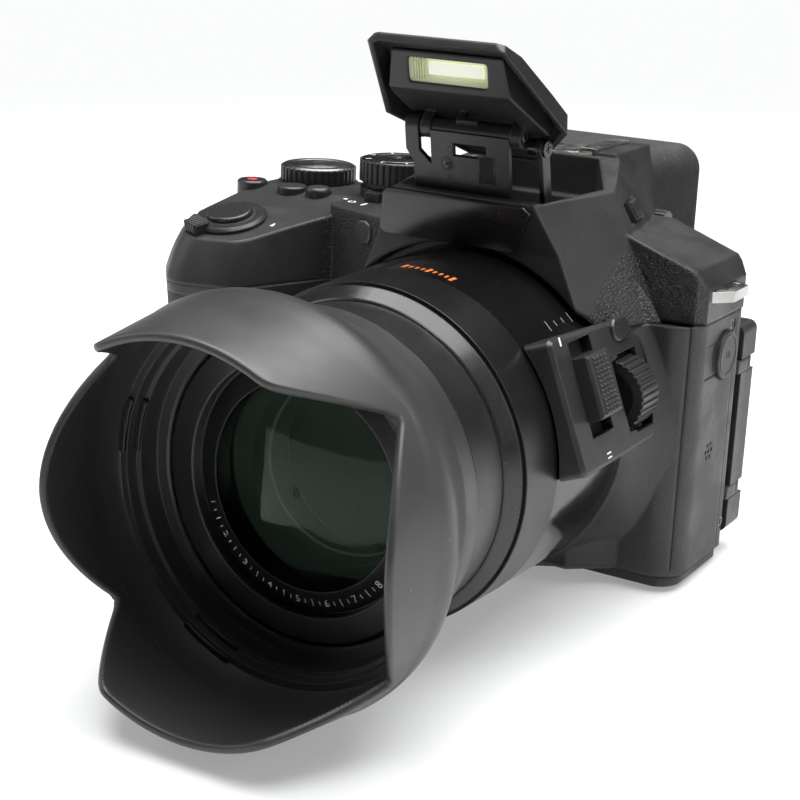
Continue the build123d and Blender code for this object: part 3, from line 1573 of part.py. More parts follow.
# Base plate, with the openings for the tripod socket and the battery door
door_rim = 0.9
door_hinge_rim = 2.5
door_end_rim = 0.6
door_reach = (battery_size[0] / 2 + door_rim, battery_size[0] / 2 + door_hinge_rim)
door_pivot_x = battery_centre[0] + door_reach[1]
door_span = (
    (battery_centre[0] - door_reach[0], door_pivot_x),
    (
        battery_centre[1] - battery_size[1] / 2 - door_end_rim,
        battery_centre[1] + battery_size[1] / 2 + door_end_rim,
    ),
)
door_barrel = 1.1
door_axis_height = 1.2
with BuildPart() as base_plate:
    with BuildSketch() as base_plan:
        with BuildLine():
            Polyline(*core_outline, close=True)
        make_face()
        fillet(base_plan.vertices().group_by(Axis.X)[-1].sort_by(Axis.Y)[0], port_front_radius)
        fillet(base_plan.vertices().group_by(Axis.X)[-1].sort_by(Axis.Y)[-1], port_rear_radius)
        add(grip_section(0, grip_foot_inset, grip_corner))
        offset(amount=-wall / 2, kind=Kind.INTERSECTION)
    extrude(amount=base_thickness)
    chamfer(base_plate.faces().sort_by(Axis.Z)[0].edges(), wall / 4)
    slab((-collar_outer, collar_outer), (-lens_wall - overrun, seat_gap - collar_back),
         (-overrun, base_thickness + overrun), mode=Mode.SUBTRACT)
    disc(Plane.XY.offset(-overrun), socket_radius + seat_gap, base_thickness + 2 * overrun, mode=Mode.SUBTRACT)
    slab(
        (door_span[0][0] - door_gap, door_pivot_x + door_barrel + running_gap),
        (door_span[1][0] - door_gap, door_span[1][1] + door_gap),
        (-overrun, base_thickness + overrun),
        mode=Mode.SUBTRACT,
    )
    for centre in base_screws:
        disc(Plane.XY.offset(-overrun), case_screw_radius + seat_gap, case_screw_sink + overrun + case_screw_length,
             mode=Mode.SUBTRACT, centre=centre)
base_plate.part.label = "base_plate"
export_step(base_plate.part, "parts/base_plate.step")

# Tripod socket
with BuildPart() as tripod_socket:
    disc(Plane.XY, socket_radius, socket_height, bore=socket_bore)
tripod_socket.part.label = "tripod_socket"
export_step(tripod_socket.part, "parts/tripod_socket.step")

# Battery door, hinged along its inner edge, with a sliding latch
door_top = 2.1
door_bottom = 0.1
latch_half = 5.0
latch_width = 4.0
latch_travel = 2.5
latch_edge = 3.0
latch_depth = 1.2
with BuildPart() as battery_door:
    slab((door_span[0][0], door_pivot_x), door_span[1], (door_bottom, door_top))
    disc(Plane(origin=(door_pivot_x, door_span[1][1], door_axis_height), z_dir=(0, -1, 0)), door_barrel,
         door_span[1][1] - door_span[1][0])
    slab(
        (door_span[0][0] + latch_edge, door_span[0][0] + latch_edge + latch_width + latch_travel + 2 * running_gap),
        (battery_centre[1] - latch_half - running_gap, battery_centre[1] + latch_half + running_gap),
        (-overrun, door_bottom + latch_depth),
        mode=Mode.SUBTRACT,
    )
battery_door.part.label = "battery_door"
export_step(battery_door.part, "parts/battery_door.step")

with BuildPart() as battery_latch:
    latch_start = door_span[0][0] + latch_edge + running_gap
    slab((latch_start, latch_start + latch_width), (battery_centre[1] - latch_half, battery_centre[1] + latch_half),
         (door_bottom, door_bottom + latch_depth - running_gap))
battery_latch.part.label = "battery_latch"
export_step(battery_latch.part, "parts/battery_latch.step")

# Battery in its bay
battery_corner = 3.0
with BuildPart() as battery:
    with BuildSketch(Plane.XY.offset(base_thickness + bay_gap)) as battery_plan:
        with Locations(battery_centre):
            RectangleRounded(battery_size[0], battery_size[1], battery_corner)
    extrude(battery_plan.sketch, amount=battery_size[2])
battery.part.label = "battery"
export_step(battery.part, "parts/battery.step")

# Main board on the bosses of the rear cover
with BuildPart() as main_board:
    board_back = rear_face - wall - boss_length
    slab((-board_half_width, board_half_width),
         (board_back - board_thickness - running_gap, board_back - running_gap), (board_low, board_high))
main_board.part.label = "main_board"
export_step(main_board.part, "parts/main_board.step")

# Image sensor on its plate behind the rear lens group
sensor_plate_radius = 30.5
sensor_plate_thickness = 1.2
sensor_width = 20.0
sensor_height = 15.0
sensor_thickness = 2.6
with BuildPart() as image_sensor:
    sensor_plane = lens_plane(barrel_rear - running_gap)
    disc(sensor_plane, sensor_plate_radius, -sensor_plate_thickness)
    with BuildSketch(sensor_plane.offset(-sensor_plate_thickness)) as sensor_outline:
        Rectangle(sensor_width, sensor_height)
    extrude(sensor_outline.sketch, amount=-sensor_thickness)
image_sensor.part.label = "image_sensor"
export_step(image_sensor.part, "parts/image_sensor.step")

# Rubber skin of the grip
with BuildPart() as grip_rubber:
    add(rubber_form.part)
grip_rubber.part.label = "grip_rubber"
export_step(grip_rubber.part, "parts/grip_rubber.step")

# Terminal door in the side of the grip
with BuildPart() as port_door:
    add(terminal_form.part)
    slab((-grip_reach - overrun, 0), (terminal_front + soft_gap + door_gap, terminal_rear - door_gap),
         (terminal_low + door_gap, terminal_high - door_gap), mode=Mode.INTERSECT)
port_door.part.label = "port_door"
export_step(port_door.part, "parts/port_door.step")

# Flap of the microphone socket
flap_rise = 1.0
flap_thickness = 0.9
with BuildPart() as mic_flap:
    extrude(mic_outline(0), amount=flap_thickness)
    disc(Plane.YZ.offset(port_side - mic_seat_depth), mic_radius, mic_seat_depth + flap_rise, centre=mic_centre)
    chamfer(mic_flap.faces().sort_by(Axis.X)[-1].edges(), flap_rise / 4)
mic_flap.part.label = "mic_flap"
export_step(mic_flap.part, "parts/mic_flap.step")

# Strap lugs
lug_taper = 4.0


def strap_lug(side_x, direction, height):
    """Make a flat lug with a slot, which stands out from a side of the body."""
    root = side_x - direction * lug_root
    tip = side_x + direction * lug_reach
    outline = ((root, lug_front), (side_x, lug_front), (tip, lug_front + lug_taper), (tip, lug_back - lug_taper / 2),
               (side_x, lug_back), (root, lug_back))
    prism(outline, Plane.XY.offset(height), lug_thickness)
    slot_in, slot_out = sorted((side_x + direction * running_gap, side_x + direction * (running_gap + lug_slot)))
    slab((slot_in, slot_out), (lug_front + lug_taper, lug_back - lug_taper / 2),
         (height - overrun, height + lug_thickness + overrun), mode=Mode.SUBTRACT)


with BuildPart() as strap_lug_port:
    strap_lug(port_side, 1, lug_height)
strap_lug_port.part.label = "strap_lug_port"
export_step(strap_lug_port.part, "parts/strap_lug_port.step")

with BuildPart() as strap_lug_grip:
    strap_lug(-grip_lug_x, -1, grip_lug_height)
strap_lug_grip.part.label = "strap_lug_grip"
export_step(strap_lug_grip.part, "parts/strap_lug_grip.step")

# Case screws
with BuildPart() as case_screws:
    for centre in side_screws:
        disc(Plane.YZ.offset(port_side - case_screw_length), case_screw_radius, case_screw_length - case_screw_sink,
             centre=centre)
    for centre in base_screws:
        disc(Plane.XY.offset(case_screw_sink), case_screw_radius, case_screw_length, centre=centre)
case_screws.part.label = "case_screws"
export_step(case_screws.part, "parts/case_screws.step")

# Viewfinder: eyepiece lens, eyecup and dioptre dial
eyepiece_thickness = 4.0
with BuildPart() as eyepiece:
    disc(Plane.XZ.offset(-finder_back + eyepiece_depth - seat_gap), eyepiece_radius, -eyepiece_thickness,
         centre=(0, eyepiece_height))
eyepiece.part.label = "eyepiece"
export_step(eyepiece.part, "parts/eyepiece.step")

eyecup_width = 28.0
eyecup_height = 24.0
eyecup_rim_width = 47.0
eyecup_rim_height = 29.0
eyecup_wall = 3.0
eyecup_corner = 6.0
eyecup_depth = 10.5
eyecup_gap = 0.1


def eyecup_loft(inset, mode):
    """Loft the eyecup's outline from the viewfinder to the rim, drawn in all round by an inset."""
    sections = []
    stations = ((0, eyecup_width, eyecup_height), (eyecup_depth, eyecup_rim_width, eyecup_rim_height))
    for depth, width, height in stations:
        with BuildSketch(Plane.XZ.offset(-finder_back - eyecup_gap - depth)) as section:
            with Locations((0, eyepiece_height)):
                RectangleRounded(width - 2 * inset, height - 2 * inset, eyecup_corner)
        sections.append(section.sketch)
    loft(sections, mode=mode)


with BuildPart() as eyecup:
    eyecup_loft(0, Mode.ADD)
    eyecup_loft(eyecup_wall, Mode.SUBTRACT)
eyecup.part.label = "eyecup"
export_step(eyecup.part, "parts/eyecup.step")

dioptre_ribs = 20
with BuildPart() as dioptre_dial:
    knurled(
        Plane(origin=(dioptre_inner, dioptre_centre[0], dioptre_centre[1]), x_dir=(0, 1, 0), z_dir=(1, 0, 0)),
        dioptre_radius, dioptre_outer - dioptre_inner, dioptre_ribs, dial_rib_depth,
    )
dioptre_dial.part.label = "dioptre_dial"
export_step(dioptre_dial.part, "parts/dioptre_dial.step")

# Screen: frame with its hinge block and pin, and the glass
screen_starboard = -27.0
screen_low = 5.5
screen_high = 55.0
notch_x = 41.0
screen_corner = 2.0
screen_front = rear_face + screen_gap
screen_back = screen_front + screen_thickness
glass_inset = 3.0
glass_depth = 0.8
with BuildPart() as screen_frame:
    slab((screen_starboard, port_side), (screen_front, screen_back), (screen_low, screen_high))
    fillet(screen_frame.edges().filter_by(Axis.Y), screen_corner)
    slab((notch_x, port_side + overrun), (screen_front - overrun, screen_back + overrun),
         (knuckle_low - lug_tall - soft_gap, knuckle_high + lug_tall + soft_gap), mode=Mode.SUBTRACT)
    slab((screen_starboard + glass_inset, notch_x - glass_inset / 2),
         (screen_back - glass_depth, screen_back + overrun), (screen_low + glass_inset, screen_high - glass_inset),
         mode=Mode.SUBTRACT)
screen_frame.part.label = "screen_frame"
export_step(screen_frame.part, "parts/screen_frame.step")

with BuildPart() as screen_hinge:
    slab((notch_x + running_gap, port_side), (screen_front + soft_gap, screen_back - soft_gap),
         (knuckle_low, knuckle_high))
    disc(Plane(origin=(swing_x, swing_y, knuckle_low - lug_tall)), swing_pin,
         knuckle_high - knuckle_low + 2 * lug_tall)
screen_hinge.part.label = "screen_hinge"
export_step(screen_hinge.part, "parts/screen_hinge.step")

with BuildPart() as screen_glass:
    slab(
        (screen_starboard + glass_inset + seat_gap, notch_x - glass_inset / 2 - seat_gap),
        (screen_back - glass_depth, screen_back - running_gap),
        (screen_low + glass_inset + seat_gap, screen_high - glass_inset - seat_gap),
    )
screen_glass.part.label = "screen_glass"
export_step(screen_glass.part, "parts/screen_glass.step")

# Controls on the back
pad_rise = 1.0
pad_dish = 3.6


def back_button(centre, radius):
    """Make a round button that stands proud of the back."""
    disc(Plane.XZ.offset(-rear_face + back_pocket - press_travel - running_gap), radius,
         -(back_pocket - press_travel - running_gap + pad_rise), centre=centre)


with BuildPart() as cursor_pad:
    back_button(pad_centre, pad_radius)
    disc(Plane.XZ.offset(-rear_face - pad_rise + top_bevel), pad_dish, -overrun, mode=Mode.SUBTRACT,
         centre=pad_centre)
    chamfer(cursor_pad.faces().sort_by(Axis.Y)[-1].edges(), top_bevel / 2)
cursor_pad.part.label = "cursor_pad"
export_step(cursor_pad.part, "parts/cursor_pad.step")

with BuildPart() as menu_button:
    back_button(menu_centre, back_button_radius)
    chamfer(menu_button.faces().sort_by(Axis.Y)[-1].edges(), top_bevel / 2)
menu_button.part.label = "menu_button"
export_step(menu_button.part, "parts/menu_button.step")

with BuildPart() as play_button:
    back_button(play_centre, back_button_radius)
    chamfer(play_button.faces().sort_by(Axis.Y)[-1].edges(), top_bevel / 2)
play_button.part.label = "play_button"
export_step(play_button.part, "parts/play_button.step")
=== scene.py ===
import json
import math

import bmesh
import bpy
from mathutils import Matrix, Quaternion, Vector

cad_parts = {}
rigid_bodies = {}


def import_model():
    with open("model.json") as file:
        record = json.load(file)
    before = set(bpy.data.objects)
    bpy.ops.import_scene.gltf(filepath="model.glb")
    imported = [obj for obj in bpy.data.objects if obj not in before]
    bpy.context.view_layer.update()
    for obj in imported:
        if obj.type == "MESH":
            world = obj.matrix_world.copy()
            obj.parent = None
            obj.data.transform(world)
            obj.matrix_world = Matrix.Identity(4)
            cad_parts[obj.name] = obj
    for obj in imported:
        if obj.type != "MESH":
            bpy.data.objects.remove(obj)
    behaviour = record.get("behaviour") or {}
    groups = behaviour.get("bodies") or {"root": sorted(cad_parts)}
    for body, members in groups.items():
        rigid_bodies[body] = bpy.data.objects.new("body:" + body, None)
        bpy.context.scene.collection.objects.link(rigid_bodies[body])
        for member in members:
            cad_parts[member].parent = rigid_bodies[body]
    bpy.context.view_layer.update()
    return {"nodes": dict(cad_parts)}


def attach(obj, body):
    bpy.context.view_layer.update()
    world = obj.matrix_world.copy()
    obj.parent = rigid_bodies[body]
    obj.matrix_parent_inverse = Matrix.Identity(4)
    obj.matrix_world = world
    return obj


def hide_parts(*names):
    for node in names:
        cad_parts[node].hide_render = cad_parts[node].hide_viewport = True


for leftover in list(bpy.data.objects):
    bpy.data.objects.remove(leftover)
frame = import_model()

bl_info = {
    "name": "Bridge Camera Finishes",
    "version": (1, 0, 0),
    "blender": (4, 5, 0),
    "location": "View3D > Sidebar > Bridge Camera",
    "description": "Finishes and fine pieces of a bridge camera with a pop-up flash and a petal hood",
    "category": "Object",
}

MM = 0.001
FAR = 1.0
FULL_TURN = 2 * math.pi
SMOOTH_ANGLE = math.radians(35)
FINE_STEPS = 144
SMALL_STEPS = 48

# Places on the frame, in millimetres, as in the part's source
LENS_AXIS = 36.6
DECK = 75.0
MODE_DIAL = (-39.5, 10.0)
MODE_DIAL_TOP = 83.8
REAR_DIAL = (-65.5, 14.0)
REAR_DIAL_TOP = 78.9
MOVIE_BUTTON = (-75.6, 0.0, 75.9)
SHUTTER = (-67.0, -20.0, 69.764)
PLATEAU_SLOPE = math.radians(14)
POD_TURN = math.radians(21)
ARM_PIVOT = (-21.6, 79.2)
HEAD_PIVOT = (-25.0, 98.6)
HEAD_TILT = math.radians(45)
HEAD_FACE = ((-21.6, 2.5), (-14.8, -2.0))
WEB_FRONT = 2.6
SEAM_HEIGHT = 58.7
SEAM_TILT = math.radians(1.75)
COVER_SPLIT = 14.0
BARREL_SEAM = 49.9
LAMP_WALL = (-46.5, -27.5)
SHOULDER_SIDE, SHOULDER_FRONT, SHOULDER_TOP = 28.5, -3.5, 74.2
HOOD_RIDGE, HOOD_REACH = 99.1, 124.38
HOOD_WIDE, HOOD_MOUTH = 41.55, 38.2
HOOD_WALL = 1.8
NOTCH_REACH, SIDE_PETAL = 103.4, 13.6
NOTCH_ANGLE, CORNER_ANGLE = 38.5, 60.5
NOTCH_FILLET = 1.2
EDGE_ROUNDING = 0.9
PETAL_STEPS = 720
GROOVE_PITCH = 0.75
RING_SLOPE = 0.325
WINDOW = (18.5, 5.1, 0.8)
BRACKET_SCREW = (-5.4, 91.7)
BRACKET_RECESS = (4.1, 91.15)
RECESS_SIZE = (3.6, 5.9)
LINK_SCREW_FACE = 16.25
MARK = 0.06
CONTROL_BACK = 20.5
CAMERA_SPOT = (0.178437, -0.34808, 0.15212)
CAMERA_LOOK = (-0.492381, 0.819489, -0.293254)
CAMERA_ROLL = 2.27
LIGHT_TARGET = (0, -0.04, 0.05)
FLOOR_RISE, FLOOR_RUN = 5.0, 118.6

# Shared looks of the finishes, with lengths in metres
JOINT_EDGE = (0.00012, 0.00022)
LEATHER_PEBBLE = 0.00075
# Colour of the painted shade in the leather grain's creases
CREASE_SHADE = (0.004, 0.004, 0.004)
JOINT_BLACK = (0.002, 0.002, 0.002)
DUST_GREY = (0.35, 0.34, 0.32)
GLASS_IOR = 1.52


# Small tools for meshes


def to_world(origin, x_dir, z_dir):
    """Return the matrix of a frame whose origin is in millimetres."""
    z_axis = Vector(z_dir).normalized()
    x_axis = (Vector(x_dir) - Vector(x_dir).dot(z_axis) * z_axis).normalized()
    y_axis = z_axis.cross(x_axis)
    turn = Matrix((x_axis, y_axis, z_axis)).transposed().to_4x4()
    return Matrix.Scale(MM, 4) @ Matrix.Translation(Vector(origin)) @ turn


def turned(degrees):
    """Return a turn about the Z axis of a frame."""
    return Matrix.Rotation(math.radians(degrees), 4, "Z")


def moved(x, y, z):
    """Return a move along the axes of a frame."""
    return Matrix.Translation((x, y, z))


def lens_frame(forward=0.0):
    """Return the frame on the lens axis: Z runs forward and X to the camera's left."""
    return to_world((0, -forward, LENS_AXIS), (1, 0, 0), (0, -1, 0))


def pod_frame(distance, down, forward):
    """Return the frame on the side pod: X runs forward, Y down and Z out."""
    normal = Vector((math.cos(POD_TURN), 0, math.sin(POD_TURN)))
    downward = Vector((math.sin(POD_TURN), 0, -math.cos(POD_TURN)))
    origin = Vector((0, -forward, LENS_AXIS)) + normal * distance + downward * down
    return to_world(origin, (0, -1, 0), normal)


def deck_frame(x, y, z):
    """Return an upright frame with its origin at a point."""
    return to_world((x, y, z), (1, 0, 0), (0, 0, 1))


def plateau_frame(x, y, rise):
    """Return the frame on the sloping plateau, offset from the shutter button's centre."""
    normal = Vector((0, -math.sin(PLATEAU_SLOPE), math.cos(PLATEAU_SLOPE)))
    back = Vector((0, math.cos(PLATEAU_SLOPE), math.sin(PLATEAU_SLOPE)))
    origin = Vector(SHUTTER) + Vector((x, 0, 0)) + back * y + normal * rise
    return to_world(origin, (1, 0, 0), normal)


def head_point(back, up):
    """Return the body's (y, z) of a point in the flash head's side view."""
    c, s = math.cos(HEAD_TILT), math.sin(HEAD_TILT)
    return HEAD_PIVOT[0] + back * c + up * s, HEAD_PIVOT[1] - back * s + up * c


def window_frame(depth):
    """Return the frame in the middle of the flash's face: Y runs up the face and Z out."""
    top, low = (Vector(head_point(*corner)) for corner in HEAD_FACE)
    middle, up = (top + low) / 2, (top - low).normalized()
    normal = Vector((0, -up[1], up[0]))
    origin = Vector((0, middle[0], middle[1])) - normal * depth
    return to_world(origin, (1, 0, 0), normal)


def web_frame(x, height, rise=0.0):
    """Return the frame on the front of the flash bracket's web: Y runs up and Z forward."""
    arm = Vector((HEAD_PIVOT[0] - ARM_PIVOT[0], HEAD_PIVOT[1] - ARM_PIVOT[1]))
    share = (height - ARM_PIVOT[1]) / arm[1]
    forward = Vector((-arm[1], arm[0])).normalized()
    middle = Vector(ARM_PIVOT) + arm * share + forward * (WEB_FRONT + rise)
    return to_world((x, middle[0], middle[1]), (1, 0, 0), (0, forward[0], forward[1]))


def add_piece(name, bm, finish, body):
    """Close a bmesh into a piece that rides on a body. The finish is a material or its name."""
    bmesh.ops.remove_doubles(bm, verts=bm.verts, dist=0.002 * MM)
    bmesh.ops.recalc_face_normals(bm, faces=bm.faces)
    mesh = bpy.data.meshes.new(name)
    bm.to_mesh(mesh)
    bm.free()
    mesh.materials.append(bpy.data.materials[finish] if isinstance(finish, str) else finish)
    mesh.shade_smooth()
    mesh.set_sharp_from_angle(angle=SMOOTH_ANGLE)
    piece = bpy.data.objects.new(name, mesh)
    bpy.context.scene.collection.objects.link(piece)
    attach(piece, body)
    return piece


def take_in(bm, part, place):
    """Move a finished part onto a frame and add it to the piece."""
    bmesh.ops.transform(part, matrix=place, verts=part.verts)
    mesh = bpy.data.meshes.new("part")
    part.to_mesh(mesh)
    part.free()
    bm.from_mesh(mesh)
    bpy.data.meshes.remove(mesh)


def spin(bm, profile, place, steps=SMALL_STEPS, closed=False):
    """Turn a profile of (radius, height) points about the frame's Z axis."""
    part = bmesh.new()
    verts = [part.verts.new((radius, 0, height)) for radius, height in profile]
    pairs = list(zip(verts, verts[1:])) + ([(verts[-1], verts[0])] if closed else [])
    edges = [part.edges.new(pair) for pair in pairs]
    bmesh.ops.spin(part, geom=verts + edges, cent=(0, 0, 0), axis=(0, 0, 1), angle=FULL_TURN, steps=steps,
                   use_merge=True)
    take_in(bm, part, place)


def block(bm, size, place, bevel=0.0, segments=2):
    """Add a block with rounded edges, its middle at the frame's origin."""
    part = bmesh.new()
    bmesh.ops.create_cube(part, size=1.0)
    bmesh.ops.scale(part, vec=Vector(size), verts=part.verts)
    if bevel:
        bmesh.ops.bevel(part, geom=part.edges[:], offset=bevel, offset_type="OFFSET", segments=segments,
                        profile=0.5, affect="EDGES", material=-1)
    take_in(bm, part, place)


def plate(bm, outline, place, thickness, bevel=0.0):
    """Add a flat plate from an outline, its back on the frame's plane."""
    part = bmesh.new()
    face = part.faces.new([part.verts.new((x, y, 0)) for x, y in outline])
    made = bmesh.ops.extrude_face_region(part, geom=[face], use_keep_orig=True)["geom"]
    raised = [g for g in made if isinstance(g, bmesh.types.BMVert)]
    bmesh.ops.translate(part, vec=(0, 0, thickness), verts=raised)
    if bevel:
        rim = [g for g in made if isinstance(g, bmesh.types.BMEdge)]
        bmesh.ops.bevel(part, geom=rim, offset=bevel, offset_type="OFFSET", segments=2, profile=0.5,
                        affect="EDGES", material=-1)
    take_in(bm, part, place)


def rounded(width, height, radius, steps=4):
    """Return the outline of a rectangle with round corners."""
    outline = []
    corners = ((1, 1, 0), (-1, 1, 1), (-1, -1, 2), (1, -1, 3))
    for side, end, quarter in corners:
        for step in range(steps + 1):
            angle = (quarter + step / steps) * math.pi / 2
            outline.append((
                side * (width / 2 - radius) + radius * math.cos(angle),
                end * (height / 2 - radius) + radius * math.sin(angle),
            ))
    return outline


def arc(radius, angles):
    """Return the points of an arc at some angles."""
    return [(radius * math.cos(angle), radius * math.sin(angle)) for angle in angles]


def circle(radius, steps=24):
    """Return the outline of a circle."""
    return arc(radius, [FULL_TURN * step / steps for step in range(steps)])


def cross(bm, size, place, degrees, bevel=0.01):
    """Add a cross of two thin blocks, turned by an angle."""
    for turn in (degrees, degrees + 90):
        block(bm, size, place @ turned(turn), bevel, 1)


def figure(bm, text, size, place, thickness):
    """Add a plain figure, centred on the frame's origin."""
    curve = bpy.data.curves.new("figure", "FONT")
    curve.body = text
    curve.size = size
    curve.extrude = thickness / 2
    curve.resolution_u = 3
    curve.align_x = "CENTER"
    curve.align_y = "CENTER"
    holder = bpy.data.objects.new("figure", curve)
    bpy.context.scene.collection.objects.link(holder)
    mesh = bpy.data.meshes.new_from_object(holder)
    bpy.data.objects.remove(holder)
    mesh.transform(place @ moved(0, 0, thickness / 2))
    bm.from_mesh(mesh)
    bpy.data.meshes.remove(mesh)


# Small tools for materials


def feed(tree, node, inputs):
    """Set the inputs of a node to values, or link them to sockets."""
    for label, value in inputs.items():
        if isinstance(value, bpy.types.NodeSocket):
            tree.links.new(value, node.inputs[label])
        else:
            node.inputs[label].default_value = value
    return node


def add_node(tree, kind, inputs=None, **settings):
    """Add a node, with its settings and the values or sockets of its inputs."""
    node = tree.nodes.new(kind)
    for label, value in settings.items():
        setattr(node, label, value)
    return feed(tree, node, inputs or {})


def calc(tree, operation, *values):
    """Add a Math node and return its output."""
    return add_node(tree, "ShaderNodeMath", dict(enumerate(values)), operation=operation).outputs[0]


def times(tree, first, second):
    """Multiply two values."""
    return calc(tree, "MULTIPLY", first, second)


def ramp(tree, value, low, high, out_low=0.0, out_high=1.0, smooth=True):
    """Add a Map Range node and return its output. A straight one goes on beyond its limits."""
    limits = {"Value": value, "From Min": low, "From Max": high, "To Min": out_low, "To Max": out_high}
    kind = "SMOOTHSTEP" if smooth else "LINEAR"
    return add_node(tree, "ShaderNodeMapRange", limits, interpolation_type=kind, clamp=smooth).outputs["Result"]


def axes(tree, vector):
    """Return the X, Y and Z of a vector."""
    return add_node(tree, "ShaderNodeSeparateXYZ", {0: vector}).outputs


def length(tree, first, second):
    """Return the length of a flat vector from its two parts."""
    square = calc(tree, "ADD", times(tree, first, first), times(tree, second, second))
    return calc(tree, "SQRT", square)


def mix_value(tree, share, first, second):
    """Mix two values."""
    return add_node(tree, "ShaderNodeMix", {0: share, 2: first, 3: second}).outputs[0]


def mix_colour(tree, share, first, second):
    """Mix two colours, each a socket or a tuple."""
    pair = [c if isinstance(c, bpy.types.NodeSocket) else (*c[:3], 1.0) for c in (first, second)]
    return add_node(tree, "ShaderNodeMix", {0: share, 6: pair[0], 7: pair[1]}, data_type="RGBA").outputs[2]


def bumped(tree, height, normal):
    """Return a normal with a height added to it."""
    relief = {"Height": height, "Distance": 1.0, "Strength": 1.0, "Normal": normal}
    return add_node(tree, "ShaderNodeBump", relief).outputs[0]


def vector_calc(tree, operation, inputs):
    """Add a Vector Math node and return its outputs."""
    return add_node(tree, "ShaderNodeVectorMath", inputs, operation=operation).outputs


def noise(tree, vector, scale, **inputs):
    """Add a Noise Texture node and return its outputs."""
    return add_node(tree, "ShaderNodeTexNoise", {"Vector": vector, "Scale": scale, **inputs}).outputs


def cells(tree, feature, vector, scale):
    """Add a Voronoi Texture node and return its distance."""
    node = add_node(tree, "ShaderNodeTexVoronoi", {"Vector": vector, "Scale": scale}, feature=feature)
    return node.outputs["Distance"]


def new_group(name, defaults, results):
    """Start a node group from its inputs' defaults, None for a vector, and the names of its outputs."""
    tree = bpy.data.node_groups.new(name, "ShaderNodeTree")
    for label, default in defaults.items():
        kind = "NodeSocketVector" if default is None else "NodeSocketFloat"
        socket = tree.interface.new_socket(label, in_out="INPUT", socket_type=kind)
        if default is not None:
            socket.default_value = default
    for label in results:
        kind = "NodeSocketVector" if label == "Normal" else "NodeSocketFloat"
        tree.interface.new_socket(label, in_out="OUTPUT", socket_type=kind)
    return tree, tree.nodes.new("NodeGroupInput").outputs, tree.nodes.new("NodeGroupOutput")


def build_moulded_grain():
    """Build the fine texture of moulded plastic."""
    tree, given, out = new_group("Moulded grain", {"Vector": None, "Size": 0.0003}, ("Height", "Speck"))
    scale = calc(tree, "DIVIDE", 1.0, given["Size"])
    pebbles = calc(tree, "SUBTRACT", 1.0, cells(tree, "SMOOTH_F1", given["Vector"], scale))
    fine = noise(tree, given["Vector"], scale, Detail=3.0)["Fac"]
    feed(tree, out, {"Height": times(tree, pebbles, fine), "Speck": ramp(tree, fine, 0.5, 0.75)})
    return tree


def build_leather_grain():
    """Build a soft pebbled leather grain, with creases between the pebbles."""
    tree, given, out = new_group("Leather grain", {"Vector": None, "Size": 0.0009}, ("Height", "Crease"))
    scale = calc(tree, "DIVIDE", 1.0, given["Size"])
    sway = noise(tree, given["Vector"], times(tree, scale, 0.6))["Color"]
    centred = vector_calc(tree, "SUBTRACT", {0: sway, 1: (0.5, 0.5, 0.5)})[0]
    reach = vector_calc(tree, "SCALE", {0: centred, "Scale": given["Size"]})[0]
    swayed = vector_calc(tree, "ADD", {0: given["Vector"], 1: reach})[0]
    border = cells(tree, "DISTANCE_TO_EDGE", swayed, scale)
    fine = noise(tree, given["Vector"], times(tree, scale, 4.0))["Fac"]
    dome = ramp(tree, border, 0.0, 0.28)
    crease = ramp(tree, border, 0.0, 0.1, 1.0, 0.0)
    feed(tree, out, {"Height": calc(tree, "MULTIPLY_ADD", fine, 0.25, dome), "Crease": crease})
    return tree


def build_handling():
    """Build the smudges from handling and a few specks of dust."""
    tree, given, out = new_group("Handling", {"Vector": None, "Spread": 0.012}, ("Smudge", "Dust"))
    scale = calc(tree, "DIVIDE", 1.0, given["Spread"])
    smear = noise(tree, given["Vector"], scale, Detail=5.0, Roughness=0.6)["Fac"]
    motes = cells(tree, "F1", given["Vector"], times(tree, scale, 3.0))
    feed(tree, out, {"Smudge": ramp(tree, smear, 0.35, 0.7), "Dust": ramp(tree, motes, 0.03, 0.05, 1.0, 0.0)})
    return tree


def build_soft_edge():
    """Build rounded edges, and a mask of how much of an edge a point lies on."""
    tree, given, out = new_group("Soft edge", {"Radius": 0.0004}, ("Edge", "Normal"))
    rounding = add_node(tree, "ShaderNodeBevel", {"Radius": given["Radius"]}, samples=6).outputs[0]
    flat = add_node(tree, "ShaderNodeNewGeometry").outputs["Normal"]
    facing = vector_calc(tree, "DOT_PRODUCT", {0: rounding, 1: flat})["Value"]
    feed(tree, out, {"Edge": ramp(tree, facing, 0.99, 0.8, 0.0, 1.0), "Normal": rounding})
    return tree


def build_spun_rings():
    """Build the fine rings that a lathe leaves round the Z axis of the vector."""
    tree, given, out = new_group("Spun rings", {"Vector": None, "Pitch": 0.0003}, ("Height", "Tone"))
    across, along, _ = axes(tree, given["Vector"])
    turns = calc(tree, "DIVIDE", length(tree, across, along), given["Pitch"])
    wave = calc(tree, "SINE", times(tree, turns, FULL_TURN))
    rings = add_node(tree, "ShaderNodeTexNoise", {"W": turns, "Scale": 0.7, "Detail": 2.0}, noise_dimensions="1D")
    tone = ramp(tree, rings.outputs["Fac"], 0.3, 0.7)
    feed(tree, out, {"Height": calc(tree, "MULTIPLY_ADD", wave, 0.5, 0.5), "Tone": tone})
    return tree


GROUPS = {}


def group_node(tree, key, inputs):
    """Add a shared node group, built when it is first asked for, and return its outputs."""
    builders = {
        "grain": build_moulded_grain, "leather": build_leather_grain, "handling": build_handling,
        "edge": build_soft_edge, "rings": build_spun_rings,
    }
    if key not in GROUPS:
        GROUPS[key] = builders[key]()
    return add_node(tree, "ShaderNodeGroup", inputs, node_tree=GROUPS[key]).outputs


def new_finish(name):
    """Start a material and return it with its tree, its Principled node and the object's coordinates."""
    finish = bpy.data.materials.new(name)
    finish.use_nodes = True
    tree = finish.node_tree
    coords = tree.nodes.new("ShaderNodeTexCoord").outputs["Object"]
    return finish, tree, tree.nodes["Principled BSDF"], coords


